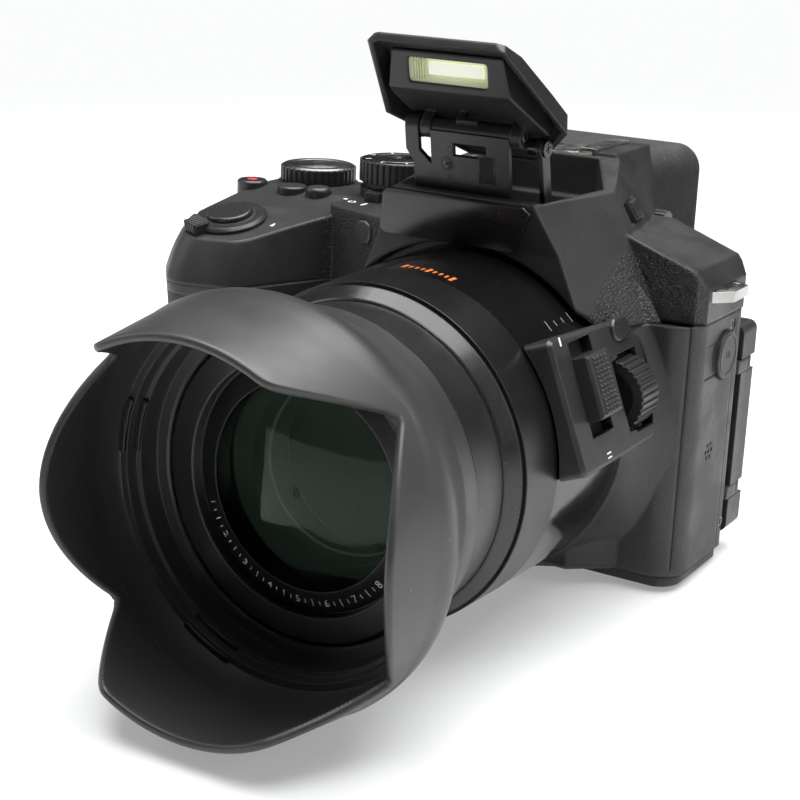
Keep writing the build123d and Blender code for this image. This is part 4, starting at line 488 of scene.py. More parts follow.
def panel_lines(tree, coords, lines):
    """Return a mask of the dark joints between covers: each line is (x, y, z, offset) of its plane, in metres."""
    total = 0.0
    for x, y, z, offset in lines:
        across = vector_calc(tree, "DOT_PRODUCT", {0: coords, 1: (x, y, z)})["Value"]
        away = calc(tree, "ABSOLUTE", calc(tree, "SUBTRACT", across, offset))
        total = calc(tree, "MAXIMUM", total, ramp(tree, away, *JOINT_EDGE, 1.0, 0.0))
    return total


def moulded(name, colour, roughness, grain_size=0.00032, grain_depth=0.00002, edge=0.5, leather=0.0, zone=None,
            lines=(), edge_radius=0.0004, smudge=0.14):
    """Make a moulded or painted finish: grain, soft edges lightened by a painted highlight, smudges, dust and the
    joints between covers.
    """
    finish, tree, shader, coords = new_finish(name)
    wear = group_node(tree, "handling", {"Vector": coords, "Spread": 0.014})
    soft = group_node(tree, "edge", {"Radius": edge_radius})
    grain = group_node(tree, "grain", {"Vector": coords, "Size": grain_size})
    height = times(tree, grain["Height"], grain_depth)
    light = tuple(min(1.0, 0.06 + 1.5 * c) for c in colour)
    base = mix_colour(tree, times(tree, grain["Speck"], 0.25 if grain_depth else 0.0), colour, light)
    if leather:
        hide = group_node(tree, "leather", {"Vector": coords, "Size": LEATHER_PEBBLE})
        share = zone(tree, coords) if zone else 1.0
        height = mix_value(tree, share, height, times(tree, hide["Height"], leather))
        crease = times(tree, hide["Crease"], share)
        # Painted shade: the creases between the pebbles are darkened
        base = mix_colour(tree, times(tree, crease, 0.5), base, CREASE_SHADE)
    # Painted highlight: the edges are lightened as if they caught the light
    base = mix_colour(tree, times(tree, soft["Edge"], edge * 0.4), base, light)
    base = mix_colour(tree, times(tree, wear["Dust"], 0.12), base, DUST_GREY)
    if lines:
        base = mix_colour(tree, panel_lines(tree, coords, lines), base, JOINT_BLACK)
    spread = smudge * roughness
    feed(tree, shader, {
        "Base Color": base,
        "Roughness": ramp(tree, wear["Smudge"], 0.0, 1.0, roughness - spread, roughness + spread),
        "Normal": bumped(tree, height, soft["Normal"]),
    })
    return finish


def metal(name, colour, roughness, pitch=0.0, centre=(0, 0, 0)):
    """Make a bare metal finish with brushed grain, or with lathe rings about a centre."""
    finish, tree, shader, coords = new_finish(name)
    wear = group_node(tree, "handling", {"Vector": coords, "Spread": 0.006})
    soft = group_node(tree, "edge", {"Radius": 0.00025})
    if pitch:
        local = add_node(tree, "ShaderNodeMapping", {"Vector": coords, "Location": tuple(-c * MM for c in centre)},
                         vector_type="POINT").outputs[0]
        rings = group_node(tree, "rings", {"Vector": local, "Pitch": pitch})
        height, tone = times(tree, rings["Height"], 0.1 * pitch), rings["Tone"]
    else:
        grain = group_node(tree, "grain", {"Vector": coords, "Size": 0.00012})
        height, tone = times(tree, grain["Height"], 0.000002), grain["Speck"]
    feed(tree, shader, {
        "Base Color": mix_colour(tree, tone, colour, tuple(0.75 * c for c in colour)),
        "Roughness": ramp(tree, wear["Smudge"], 0.0, 1.0, roughness - 0.04, roughness + 0.08),
        "Normal": bumped(tree, height, soft["Normal"]),
        "Metallic": 1.0,
    })
    return finish


def coated_glass(name, tint, sheen, roughness=0.02):
    """Make a clear glass with a coloured coating, and faint dust on it."""
    finish, tree, shader, coords = new_finish(name)
    wear = group_node(tree, "handling", {"Vector": coords, "Spread": 0.01})
    feed(tree, shader, {
        "Base Color": mix_colour(tree, times(tree, wear["Dust"], 0.2), tint, (0.5, 0.5, 0.5)),
        "Roughness": ramp(tree, wear["Smudge"], 0.0, 1.0, roughness, roughness + 0.03),
        "Transmission Weight": 1.0,
        "IOR": GLASS_IOR,
        "Specular Tint": (*sheen, 1.0),
    })
    return finish


def paint(name, colour, roughness=0.5, glow=0.0):
    """Make a printed or painted mark, with slightly worn ink; a glow makes it shine by itself, as painted light."""
    finish, tree, shader, coords = new_finish(name)
    grain = group_node(tree, "grain", {"Vector": coords, "Size": 0.0002})
    base = mix_colour(tree, times(tree, grain["Speck"], 0.3), colour, tuple(0.7 * c for c in colour))
    worn = ramp(tree, grain["Height"], 0.0, 1.0, roughness, roughness + 0.1)
    feed(tree, shader, {"Base Color": base, "Roughness": worn})
    # Painted light: the mark glows by itself
    if glow:
        feed(tree, shader, {"Emission Color": base, "Emission Strength": glow})
    return finish


def dress(finish, *nodes):
    """Give CAD nodes a finish."""
    for name in nodes:
        materials = frame["nodes"][name].data.materials
        materials.clear()
        materials.append(finish)


# Sizes and colours that a user would change


class BodyLooks(bpy.types.PropertyGroup):
    shell_colour: bpy.props.FloatVectorProperty(
        name="Shell", description="Colour of the moulded covers", default=(0.017, 0.0172, 0.018), subtype="COLOR",
        min=0, max=1)
    shell_roughness: bpy.props.FloatProperty(
        name="Shell roughness", description="Roughness of the moulded covers", default=0.46, min=0, max=1,
        subtype="FACTOR")
    grip_colour: bpy.props.FloatVectorProperty(
        name="Grip", description="Colour of the rubber skin", default=(0.016, 0.016, 0.016), subtype="COLOR",
        min=0, max=1)
    grip_grain: bpy.props.FloatProperty(
        name="Grip grain", description="Depth of the leather grain", default=0.0001, min=0, max=0.001,
        subtype="DISTANCE", unit="LENGTH")


class LensLooks(bpy.types.PropertyGroup):
    gloss_colour: bpy.props.FloatVectorProperty(
        name="Barrel", description="Colour of the barrel's paint", default=(0.005, 0.005, 0.0055), subtype="COLOR",
        min=0, max=1)
    hood_colour: bpy.props.FloatVectorProperty(
        name="Hood", description="Colour of the hood", default=(0.03, 0.03, 0.031), subtype="COLOR", min=0, max=1)
    glass_tint: bpy.props.FloatVectorProperty(
        name="Glass", description="Tint of the front glass", default=(0.32, 0.4, 0.335), subtype="COLOR",
        min=0, max=1)
    coating: bpy.props.FloatVectorProperty(
        name="Coating", description="Colour of the glass's reflections", default=(0.24, 0.33, 0.26),
        subtype="COLOR", min=0, max=1)


class StageLooks(bpy.types.PropertyGroup):
    floor_colour: bpy.props.FloatVectorProperty(
        name="Floor", description="Colour of the floor", default=(0.86, 0.865, 0.87), subtype="COLOR", min=0, max=1)
    top_power: bpy.props.FloatProperty(
        name="Top light", description="Power of the overhead softbox", default=31.0, min=0, unit="POWER")
    left_power: bpy.props.FloatProperty(
        name="Left light", description="Power of the softbox on the left", default=3.0, min=0, unit="POWER")
    right_power: bpy.props.FloatProperty(
        name="Right light", description="Power of the softbox on the right", default=3.0, min=0, unit="POWER")
    camera_lens: bpy.props.FloatProperty(
        name="Focal length", description="Focal length of the view", default=79.02, min=10, unit="CAMERA")


# Finishes


def between(tree, value, low, high, soft=0.0008):
    """Return a soft mask of a value between two limits."""
    above = ramp(tree, value, low - soft, low + soft)
    below = ramp(tree, value, high - soft, high + soft, 1.0, 0.0)
    return times(tree, above, below)


def hide_zone(tree, coords):
    """Mask the grained parts of the top cover: the wall round the lamp and the front of the other shoulder."""
    across, along, upward = axes(tree, coords)
    lamp_wall = between(tree, across, *(side * MM for side in LAMP_WALL))
    port_front = between(tree, across, SHOULDER_SIDE * MM, FAR)
    sides = calc(tree, "MAXIMUM", lamp_wall, port_front)
    front = between(tree, along, -FAR, SHOULDER_FRONT * MM)
    return times(tree, sides, times(tree, front, between(tree, upward, -FAR, SHOULDER_TOP * MM)))


class BRIDGE_OT_covers(bpy.types.Operator):
    """Finish the covers, the grip's skin and the plain controls."""

    bl_idname = "bridge_camera.covers"
    bl_label = "Covers"

    def execute(self, context):
        looks = context.scene.bridge_body
        shell, rough = tuple(looks.shell_colour), looks.shell_roughness
        seam = (-math.tan(SEAM_TILT), 0, 1, SEAM_HEIGHT * MM)
        split = (0, 1, 0, COVER_SPLIT * MM)
        dress(moulded("top shell", shell, rough, leather=looks.grip_grain, zone=hide_zone, lines=(seam,),
                      edge_radius=0.0011), "top_cover")
        dress(moulded("case shell", shell, rough + 0.03, grain_size=0.0004, grain_depth=0.00003,
                      lines=(seam, split), edge_radius=0.0011), "front_cover", "rear_cover", "base_plate")
        dress(moulded("flash shell", shell, rough - 0.06, grain_size=0.0002, grain_depth=0.00001, edge_radius=0.0008),
              "flash_cover", "flash_head")
        dress(moulded("fine black", shell, rough), "battery_door", "battery_latch", "port_door", "mic_flap",
              "screen_frame", "screen_hinge", "function_button", "dome_button", "menu_button", "play_button",
              "cursor_pad", "flash_switch", "main_board", "battery", "image_sensor", "rear_cell", "zoom_cell")
        rubber = tuple(looks.grip_colour)
        dress(moulded("grip skin", rubber, 0.6, leather=looks.grip_grain, smudge=0.04), "grip_rubber")
        dress(moulded("eyecup rubber", rubber, 0.7, grain_size=0.0006), "eyecup")
        return {"FINISHED"}


class BRIDGE_OT_metalwork(bpy.types.Operator):
    """Finish the lugs, the shoe, the flash mechanism, the dials and the screws."""

    bl_idname = "bridge_camera.metalwork"
    bl_label = "Metalwork"

    def execute(self, context):
        dress(metal("nickel", (0.5, 0.49, 0.47), 0.3), "strap_lug_port", "strap_lug_grip", "shoe_rails",
              "shoe_contacts", "tripod_socket")
        dress(metal("steel pin", (0.5, 0.5, 0.5), 0.3), "flash_pins")
        dress(moulded("bracket black", (0.02, 0.02, 0.021), 0.34, grain_size=0.0002, grain_depth=0.000006),
              "flash_bracket", "flash_link")
        dress(metal("black screw", (0.09, 0.09, 0.09), 0.3), "case_screws", "link_screw")
        dress(moulded("dial black", (0.014, 0.014, 0.015), 0.36, grain_size=0.0002, grain_depth=0.000005, edge=1.0),
              "mode_dial", "rear_dial", "power_lever", "side_dial", "dioptre_dial", "zoom_collar", "zoom_rocker")
        dress(moulded("shutter black", (0.02, 0.02, 0.02), 0.3, grain_size=0.00015, grain_depth=0.000003),
              "shutter_button", "movie_button", "focus_button")
        return {"FINISHED"}


class BRIDGE_OT_lens_finishes(bpy.types.Operator):
    """Finish the barrel, the tubes, the side pod, the glasses, the lamp's lens and the screen."""

    bl_idname = "bridge_camera.lens_finishes"
    bl_label = "Lens finishes"

    def execute(self, context):
        looks = context.scene.bridge_lens
        dress(self.barrel(tuple(looks.gloss_colour)), "lens_barrel")
        dress(moulded("ring black", (0.012, 0.012, 0.013), 0.24, grain_size=0.0002, grain_depth=0.000004, edge=1.2),
              "barrel_front_ring")
        dress(moulded("tube black", (0.012, 0.012, 0.012), 0.34, grain_size=0.0003, grain_depth=0.00001),
              "zoom_tube", "front_tube", "name_ring")
        dress(moulded("iris black", (0.008, 0.008, 0.008), 0.5, grain_depth=0.0), "iris")
        dress(moulded("pod black", (0.018, 0.018, 0.019), 0.4, grain_size=0.0003, grain_depth=0.00001, edge=0.9),
              "side_pod")
        dress(coated_glass("front glass", tuple(looks.glass_tint), tuple(looks.coating)), "front_element")
        # Painted shade: the inner glasses are opaque and near-black, standing in for the dim inside of the lens
        inner_glass_shade = moulded("inner glass painted shade", (0.004, 0.0075, 0.0055), 0.12, grain_depth=0.0, edge=0.0)
        shader = inner_glass_shade.node_tree.nodes["Principled BSDF"]
        shader.inputs["Specular IOR Level"].default_value = 0.25
        inner_glass_shade.node_tree.links.remove(shader.inputs["Normal"].links[0])
        dress(inner_glass_shade, "zoom_glass", "rear_glass")
        dress(coated_glass("eyepiece glass", (0.7, 0.75, 0.72), (0.5, 0.6, 0.55)), "eyepiece")
        dress(moulded("lamp lens", (0.05, 0.05, 0.055), 0.22, grain_size=0.0006, grain_depth=0.00001), "af_lamp")
        dress(moulded("screen black", (0.002, 0.002, 0.0025), 0.07, grain_depth=0.0), "screen_glass")
        return {"FINISHED"}

    def barrel(self, colour):
        """Return the barrel's paint: gloss behind the seam and satin in front of it."""
        finish = moulded("barrel paint", colour, 0.19, grain_size=0.0002, grain_depth=0.000002, edge=1.0,
                         lines=((0, 1, 0, -BARREL_SEAM * MM),))
        tree = finish.node_tree
        shader = tree.nodes["Principled BSDF"]
        forward = axes(tree, tree.nodes["Texture Coordinate"].outputs["Object"])[1]
        satin = ramp(tree, forward, (0.1 - BARREL_SEAM) * MM, (-0.1 - BARREL_SEAM) * MM)
        worn = shader.inputs["Roughness"].links[0].from_socket
        rough = mix_value(tree, satin, calc(tree, "SUBTRACT", worn, 0.08), calc(tree, "ADD", worn, 0.14))
        tree.links.new(rough, shader.inputs["Roughness"])
        return finish


# Fine pieces


class BRIDGE_OT_dial_tops(bpy.types.Operator):
    """Add the turned caps and the marks of the two dials on the deck."""

    bl_idname = "bridge_camera.dial_tops"
    bl_label = "Dial tops"

    def execute(self, context):
        ink = paint("white ink", (0.8, 0.8, 0.8))
        spun = metal("spun cap", (0.08, 0.08, 0.085), 0.3, pitch=0.0004, centre=(*MODE_DIAL, 0))
        silver = metal("spun silver", (0.22, 0.22, 0.225), 0.33, pitch=0.0004, centre=(*REAR_DIAL, 0))
        bm = bmesh.new()
        spin(bm, ((9.0, 0.0), (8.8, 0.22), (6.5, 0.22), (6.3, 0.08), (6.0, 0.08), (5.8, 0.26), (0.9, 0.26),
                  (0.7, 0.14), (0.0, 0.14)), deck_frame(*MODE_DIAL, MODE_DIAL_TOP), FINE_STEPS)
        add_piece("mode_dial_cap", bm, spun, "mode_dial")
        bm = bmesh.new()
        for number in range(8):
            spot = deck_frame(*MODE_DIAL, MODE_DIAL_TOP + 0.22) @ turned(45 * number) @ moved(0, 7.6, 0)
            if number % 2:
                block(bm, (0.35, 1.4, 0.1), spot, 0.03)
            else:
                figure(bm, str(number // 2 + 1), 2.1, spot, MARK)
        add_piece("mode_dial_marks", bm, ink, "mode_dial")
        bm = bmesh.new()
        spin(bm, ((8.9, 0.0), (8.6, 0.3), (7.0, 0.3), (6.8, 0.12), (6.5, 0.12), (6.3, 0.26), (0.0, 0.34)),
             deck_frame(*REAR_DIAL, REAR_DIAL_TOP), FINE_STEPS)
        add_piece("rear_dial_cap", bm, silver, "rear_dial")
        bm = bmesh.new()
        block(bm, (0.6, 2.6, 0.12), deck_frame(MODE_DIAL[0], -5.2, DECK + 0.03), 0.04)
        plate(bm, circle(0.55), deck_frame(-46.5, -2.4, DECK), 0.08, 0.02)
        ring = [(1.0, 0.0), (1.0, 0.08), (0.65, 0.08), (0.65, 0.0)]
        spin(bm, ring, deck_frame(-43.4, -4.4, DECK), closed=True)
        for side, wide in ((11.4, 0.45), (-11.2, 0.9)):
            wedge = ((-wide, -0.8), (wide, -0.8), (wide * 0.3, 0.8), (-wide * 0.3, 0.8))
            plate(bm, wedge, plateau_frame(side, 1.0, 0.0), 0.08, 0.02)
        add_piece("deck_marks", bm, ink, "body")
        bm = bmesh.new()
        plate(bm, circle(1.25), deck_frame(*MOVIE_BUTTON), 0.12, 0.04)
        add_piece("movie_mark", bm, paint("red ink", (0.6, 0.03, 0.03)), "movie_button")
        bm = bmesh.new()
        for rib in range(5):
            spot = plateau_frame(0, 0, 1.55) @ turned(-25) @ moved(-2.1 + 1.05 * rib, -9.0, 0)
            block(bm, (0.55, 4.2, 2.6), spot, 0.18)
        add_piece("collar_ribs", bm, "dial black", "zoom_collar")
        return {"FINISHED"}


class BRIDGE_OT_pod_details(bpy.types.Operator):
    """Add the rocker's knurl and the marks of the side pod."""

    bl_idname = "bridge_camera.pod_details"
    bl_label = "Pod details"

    def execute(self, context):
        bm = bmesh.new()
        for row in range(13):
            for column in range(4):
                spot = pod_frame(44.0, -7.6 + 0.93 * row, 36.4 + 1.55 * column)
                block(bm, (1.25, 0.66, 0.7), spot, 0.2, 1)
        add_piece("rocker_knurl", bm, "dial black", "zoom_rocker")
        bm = bmesh.new()
        plate(bm, ((-0.3, 0.9), (-0.3, -0.9), (0.3, -0.9), (0.3, 0.9)), pod_frame(40.5, -12.8, 46.4), MARK)
        for down in (12.6, 11.7):
            plate(bm, ((-0.9, 0.5), (0.9, 0.5), (0.9, 0.2), (-0.9, 0.2)), pod_frame(40.5, down, 38.8), MARK)
        add_piece("pod_marks", bm, "white ink", "body")
        return {"FINISHED"}


class BRIDGE_OT_flash_details(bpy.types.Operator):
    """Add the flash tube, its reflector and pane, and the fine parts of the bracket."""

    bl_idname = "bridge_camera.flash_details"
    bl_label = "Flash details"

    def execute(self, context):
        self.window()
        self.bracket()
        return {"FINISHED"}

    def window(self):
        """Build the window as a tray, a tube, ribs at its starboard end and a clear pane; the tray and the tube glow
        by themselves, as painted light.
        """
        # Painted light: the reflector and the unlit flash tube glow by themselves
        cream = paint("reflector", (0.93, 0.96, 0.62), 0.3, glow=0.12)
        white = paint("flash tube", (1.0, 1.0, 0.97), 0.2, glow=0.5)
        bm = bmesh.new()
        mouth = [bm.verts.new((x, y, 1.0)) for x, y in rounded(*WINDOW)]
        bottom = [bm.verts.new((x, y + 0.3, 0.1)) for x, y in rounded(16.6, 3.2, 0.5)]
        rims = [bm.edges.new(pair) for ring in (mouth, bottom) for pair in zip(ring, ring[1:] + ring[:1])]
        bmesh.ops.bridge_loops(bm, edges=rims)
        bm.faces.new(bottom)
        bmesh.ops.solidify(bm, geom=list(bm.faces), thickness=-0.08)
        bmesh.ops.transform(bm, matrix=window_frame(1.6), verts=bm.verts)
        add_piece("flash_reflector", bm, cream, "flash_head")
        bm = bmesh.new()
        block(bm, (12.6, 2.5, 0.5), window_frame(1.2) @ moved(1.4, 0.35, 0), 0.2)
        add_piece("flash_tube", bm, white, "flash_head")
        bm = bmesh.new()
        for rib in range(5):
            block(bm, (0.3, 4.3, 0.7), window_frame(0.95) @ moved(-8.2 + 0.62 * rib, 0.1, 0), 0.08, 1)
        ribbed = coated_glass("ribbed pane", (0.85, 0.92, 0.6), (1, 1, 1), 0.12)
        add_piece("flash_ribs", bm, ribbed, "flash_head")
        bm = bmesh.new()
        plate(bm, rounded(*WINDOW), window_frame(0.55), 0.22, 0.06)
        clear = coated_glass("clear pane", (0.97, 0.99, 0.9), (1, 1, 1), 0.03)
        pane = add_piece("flash_pane", bm, clear, "flash_head")
        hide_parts("flash_window")

    def bracket(self):
        """Add the bracket's screw, holes and recess, and the cross slots of its screw and the link's; the slots and
        the recess's floor are near-black marks of painted shade.
        """
        # Painted shade: near-black marks stand in for the shade inside the cross slots and the recess
        dark = moulded("painted slot shade", (0.003, 0.003, 0.003), 0.6, grain_depth=0.0, edge=0.0)
        bm = bmesh.new()
        spin(bm, ((1.75, -0.1), (1.75, 0.04), (1.45, 0.04), (1.45, -0.05)), web_frame(*BRACKET_SCREW))
        spin(bm, ((1.25, -0.1), (1.25, 0.03), (1.15, 0.06), (0.0, 0.06)), web_frame(*BRACKET_SCREW))
        for height in (94.8, 88.7):
            spin(bm, ((0.75, -0.1), (0.75, 0.04), (0.5, 0.04), (0.5, -0.1)), web_frame(-4.9, height))
        width, tall = RECESS_SIZE
        for side, rise, wide, high in ((-width / 2, 0, 0.4, tall), (width / 2, 0, 0.4, tall),
                                       (0, tall / 2, width, 0.4)):
            block(bm, (wide, high, 0.1), web_frame(*BRACKET_RECESS) @ moved(side, rise, 0), 0.03)
        add_piece("bracket_details", bm, "bracket black", "flash_bracket")
        bm = bmesh.new()
        cross(bm, (1.5, 0.34, 0.04), web_frame(*BRACKET_SCREW, 0.05), 30)
        block(bm, (width - 0.5, tall - 0.4, 0.03), web_frame(*BRACKET_RECESS), 0.01, 1)
        add_piece("bracket_slots", bm, dark, "flash_bracket")
        bm = bmesh.new()
        link_screw = to_world((LINK_SCREW_FACE, *head_point(3.25, 0.14)), (0, 1, 0), (1, 0, 0))
        cross(bm, (2.3, 0.42, 0.1), link_screw, 20, 0.03)
        add_piece("link_slot_top", bm, dark, "flash_head")


def petal_edge(angle):
    """Return how far forward the hood reaches at an angle from the lens's left side."""
    rise = math.degrees(math.asin(min(1.0, abs(math.sin(angle)))))
    fillet = EDGE_ROUNDING * math.exp(-((NOTCH_ANGLE - rise) / NOTCH_FILLET) ** 2)
    if rise < NOTCH_ANGLE:
        return NOTCH_REACH + SIDE_PETAL * (1 - (rise / NOTCH_ANGLE) ** 1.9) + fillet
    here, notch, corner = (math.sin(math.radians(a)) for a in (rise, NOTCH_ANGLE, CORNER_ANGLE))
    slope = NOTCH_REACH + (HOOD_REACH - NOTCH_REACH) * (here - notch) / (corner - notch)
    gap = slope - HOOD_REACH
    if gap > -12:
        slope = HOOD_REACH - math.log1p(math.exp(-gap / EDGE_ROUNDING)) * EDGE_ROUNDING
    return slope + fillet


def hood_radius(forward, inside):
    """Return the hood's radius on its petals, at a distance forward."""
    share = (forward - HOOD_RIDGE) / (HOOD_REACH - HOOD_RIDGE)
    radius = HOOD_WIDE + (HOOD_MOUTH - HOOD_WIDE) * share
    return radius - HOOD_WALL if inside else radius


class BRIDGE_OT_hood(bpy.types.Operator):
    """Build the petal hood in one sheet, with a rolled rim and its bayonet's slots."""

    bl_idname = "bridge_camera.hood"
    bl_label = "Petal hood"

    def execute(self, context):
        bm = bmesh.new()
        outside = ((34.6, 79.0), (34.6, 83.4), (34.9, 84.2), (36.4, 87.2), (38.1, 91.0), (39.7, 94.5), (40.9, 97.2),
                   (41.35, 98.8), (41.45, 99.8), (41.4, 101.4))
        inside = ((39.3, 101.4), (39.6, 99.8), (39.3, 97.6), (38.5, 95.0), (38.1, 94.4), (36.5, 94.3), (36.3, 92.2),
                  (36.1, 91.8), (35.2, 91.6), (34.9, 87.6), (34.6, 87.2), (32.4, 87.0), (31.95, 86.6), (31.95, 79.0))
        spin(bm, self.section(outside, inside), Matrix.Identity(4), PETAL_STEPS, closed=True)
        self.cut_petals(bm, outside[-1][1])
        bmesh.ops.transform(bm, matrix=lens_frame(), verts=bm.verts)
        hood = add_piece("petal_hood", bm, self.finish(context), "lens_hood")
        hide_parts("lens_hood")
        self.slots()
        return {"FINISHED"}

    def section(self, outside, inside):
        """Return the whole section: outside, rolled rim and inside, with the petals at full reach."""
        start, half = outside[-1][1], HOOD_WALL / 2
        foot = HOOD_REACH - half
        rows = [start + (foot - start) * step / 8 for step in range(1, 9)]
        points = list(outside) + [(hood_radius(row, False), row) for row in rows]
        for step in range(1, 8):
            turn = math.pi * step / 8
            points.append((hood_radius(foot, False) - half + half * math.cos(turn), foot + half * math.sin(turn)))
        return points + [(hood_radius(row, True), row) for row in reversed(rows)] + list(inside)

    def cut_petals(self, bm, start):
        """Draw the sheet back from full reach to the petals' edge, along its cone."""
        foot = HOOD_REACH - HOOD_WALL / 2
        for vert in bm.verts:
            if vert.co.z <= start + 0.01:
                continue
            angle = math.atan2(vert.co.y, vert.co.x)
            edge = petal_edge(angle) - HOOD_WALL / 2
            if vert.co.z < foot:
                forward = start + (vert.co.z - start) * (edge - start) / (foot - start)
            else:
                forward = vert.co.z - foot + edge
            cone = hood_radius(min(forward, edge), False) - hood_radius(min(vert.co.z, foot), False)
            radius = math.hypot(vert.co.x, vert.co.y) + cone
            vert.co = (radius * math.cos(angle), radius * math.sin(angle), forward)

    def finish(self, context):
        """Return the hood's satin plastic, with fine light-trap grooves inside the petals."""
        colour = tuple(context.scene.bridge_lens.hood_colour)
        finish, tree, shader, coords = new_finish("hood satin")
        wear = group_node(tree, "handling", {"Vector": coords, "Spread": 0.018})
        grain = group_node(tree, "grain", {"Vector": coords, "Size": 0.00022})
        soft = group_node(tree, "edge", {"Radius": 0.0003})
        across, along, upward = axes(tree, coords)
        radius = length(tree, across, calc(tree, "SUBTRACT", upward, LENS_AXIS * MM))
        forward = times(tree, along, -1.0)
        cone = ramp(tree, forward, HOOD_RIDGE * MM, HOOD_REACH * MM, (HOOD_WIDE - 1.2) * MM,
                    (HOOD_MOUTH - 1.2) * MM, smooth=False)
        within = times(tree, ramp(tree, calc(tree, "SUBTRACT", cone, radius), 0.0, 0.0003),
                       ramp(tree, forward, 0.1008, 0.1014))
        wave = calc(tree, "SINE", times(tree, forward, FULL_TURN / (GROOVE_PITCH * MM)))
        groove = times(tree, calc(tree, "MULTIPLY_ADD", wave, 0.5, 0.5), within)
        height = calc(tree, "MULTIPLY_ADD", grain["Height"], 0.000008, times(tree, groove, 0.00004))
        light = tuple(0.02 + 1.6 * c for c in colour)
        outer = mix_colour(tree, times(tree, grain["Speck"], 0.2), colour, light)
        base = mix_colour(tree, within, outer, tuple(0.9 * c for c in colour))
        feed(tree, shader, {
            "Base Color": mix_colour(tree, times(tree, wear["Dust"], 0.3), base, (0.3, 0.3, 0.3)),
            "Roughness": ramp(tree, wear["Smudge"], 0.0, 1.0, 0.36, 0.46),
            "Normal": bumped(tree, height, soft["Normal"]),
        })
        return finish

    def slots(self):
        """Add the two slots of the bayonet, each a dark strip with a raised lip."""
        bm = bmesh.new()
        for middle in (168, 244):
            angles = [math.radians(middle + 9 * (step / 12 - 0.5) * 2) for step in range(13)]
            for radius, forward, thick, deep in ((35.6, 92.2, 0.5, 1.3), (37.3, 94.75, 0.4, 1.2)):
                outline = arc(radius + deep / 2, angles) + arc(radius - deep / 2, angles[::-1])
                plate(bm, outline, lens_frame(forward), thick, 0.15)
        add_piece("hood_slots", bm, "tube black", "lens_hood")


class BRIDGE_OT_lens_details(bpy.types.Operator):
    """Add the light baffles behind the front glass, the filter thread and the scales."""

    bl_idname = "bridge_camera.lens_details"
    bl_label = "Lens details"

    def execute(self, context):
        # The baffles get strong painted highlights along their edges
        deep = moulded("baffle black", (0.02, 0.026, 0.022), 0.34, grain_depth=0.0, edge=2.0)
        # Painted highlight: the baffles' rims glow faintly, as if they caught the light
        rim = paint("painted highlight rim", (0.2, 0.23, 0.19), 0.3, glow=0.12)
        thread = [(26.1, 84.5)]
        for turn in range(5):
            thread += [(26.1, 84.6 + 0.45 * turn), (25.8, 84.82 + 0.45 * turn)]
        thread += [(26.1, 86.8), (26.5, 86.85), (26.5, 84.5)]
        for name, finish, body, profile in (
            ("front_baffle", deep, "front_tube",
             ((24.2, 76.4), (20.4, 74.5), (20.1, 73.2), (17.2, 71.0), (16.9, 69.5), (15.6, 67.5), (15.3, 64.0),
              (16.0, 63.0), (24.0, 70.0))),
            ("zoom_baffle", deep, "zoom_tube",
             ((30.0, 47.0), (12.4, 46.0), (9.0, 44.4), (8.6, 43.4), (8.6, 42.4), (12.5, 41.5), (30.0, 42.0))),
            ("front_baffle_rim", rim, "front_tube", ((15.9, 68.2), (15.75, 68.4), (15.55, 68.3), (15.5, 68.0))),
            ("zoom_baffle_rim", rim, "zoom_tube", ((8.9, 44.5), (8.75, 44.75), (8.45, 44.7), (8.4, 44.3))),
            ("filter_thread", "tube black", "front_tube", thread),
        ):
            bm = bmesh.new()
            spin(bm, profile, lens_frame(), FINE_STEPS, closed=True)
            add_piece(name, bm, finish, body)
        self.scales()
        return {"FINISHED"}

    def scales(self):
        """Add plain scales: ticks round the name ring, and two short rows on the barrel."""
        bm = bmesh.new()
        for number in range(29):
            spot = lens_frame() @ turned(-160 + 4.2 * number) @ moved(23.6, 0, 85.04)
            spot = spot @ Matrix.Rotation(RING_SLOPE, 4, "Y")
            if number % 4:
                block(bm, (1.0 if number % 2 else 1.7, 0.2, MARK), spot)
            else:
                figure(bm, str(number // 4 + 1), 2.4, spot @ turned(90), MARK)
        add_piece("ring_scale", bm, "white ink", "front_tube")
        orange = paint("orange ink", (0.75, 0.2, 0.04))
        bm = bmesh.new()
        for number in range(9):
            long = number % 4 == 0
            spot = lens_frame(47.2) @ turned(76 + 2.2 * number) @ moved(36.56, 0, 0)
            block(bm, (0.08, 0.75 if long else 0.5, 2.6 if long else 1.5), spot)
        add_piece("barrel_scale", bm, orange, "body")
        bm = bmesh.new()
        block(bm, (0.08, 0.16, 3.4), lens_frame(22.8) @ turned(48) @ moved(36.9, 0, 0))
        for number in range(4):
            spot = lens_frame(27 + 3.2 * number) @ turned(45.8) @ moved(36.8, 0, 0)
            block(bm, (0.08, 2.4 if number in (0, 3) else 1.2, 0.22), spot)
        add_piece("barrel_index", bm, paint("grey ink", (0.3, 0.3, 0.3)), "body")


class BRIDGE_OT_hump_details(bpy.types.Operator):
    """Add the bare name plate and the flash slider's ribs."""

    bl_idname = "bridge_camera.hump_details"
    bl_label = "Hump details"

    def execute(self, context):
        gloss = moulded("plate black", (0.008, 0.008, 0.009), 0.22, grain_size=0.0002, grain_depth=0.000002,
                        edge=0.8, edge_radius=0.0005)
        bm = bmesh.new()
        outline = ((-18.2, 85.1), (14.8, 85.1), (16.4, 83.8), (12.6, 75.3), (11.0, 74.6), (-20.2, 74.6),
                   (-21.4, 75.8), (-19.4, 84.2))
        lean = math.atan2(2.7, 10.5)
        front = to_world((0, -26.6, DECK), (1, 0, 0), (0, -math.cos(lean), -math.sin(lean)))
        plate(bm, [(x, (z - DECK) / math.cos(lean)) for x, z in outline], front, 0.9, 0.5)
        add_piece("name_plate", bm, gloss, "body")
        bm = bmesh.new()
        slider = to_world((25.1, 4.34, 81.18), (0.2177, -0.9766, 0), (0.8434, 0.188, 0.5077))
        for rib in range(6):
            block(bm, (0.5, 3.9, 0.36), slider @ moved(-2.5 + 0.95 * rib, 0, 0.1), 0.12)
        add_piece("slider_ribs", bm, "dial black", "flash_switch")
        return {"FINISHED"}


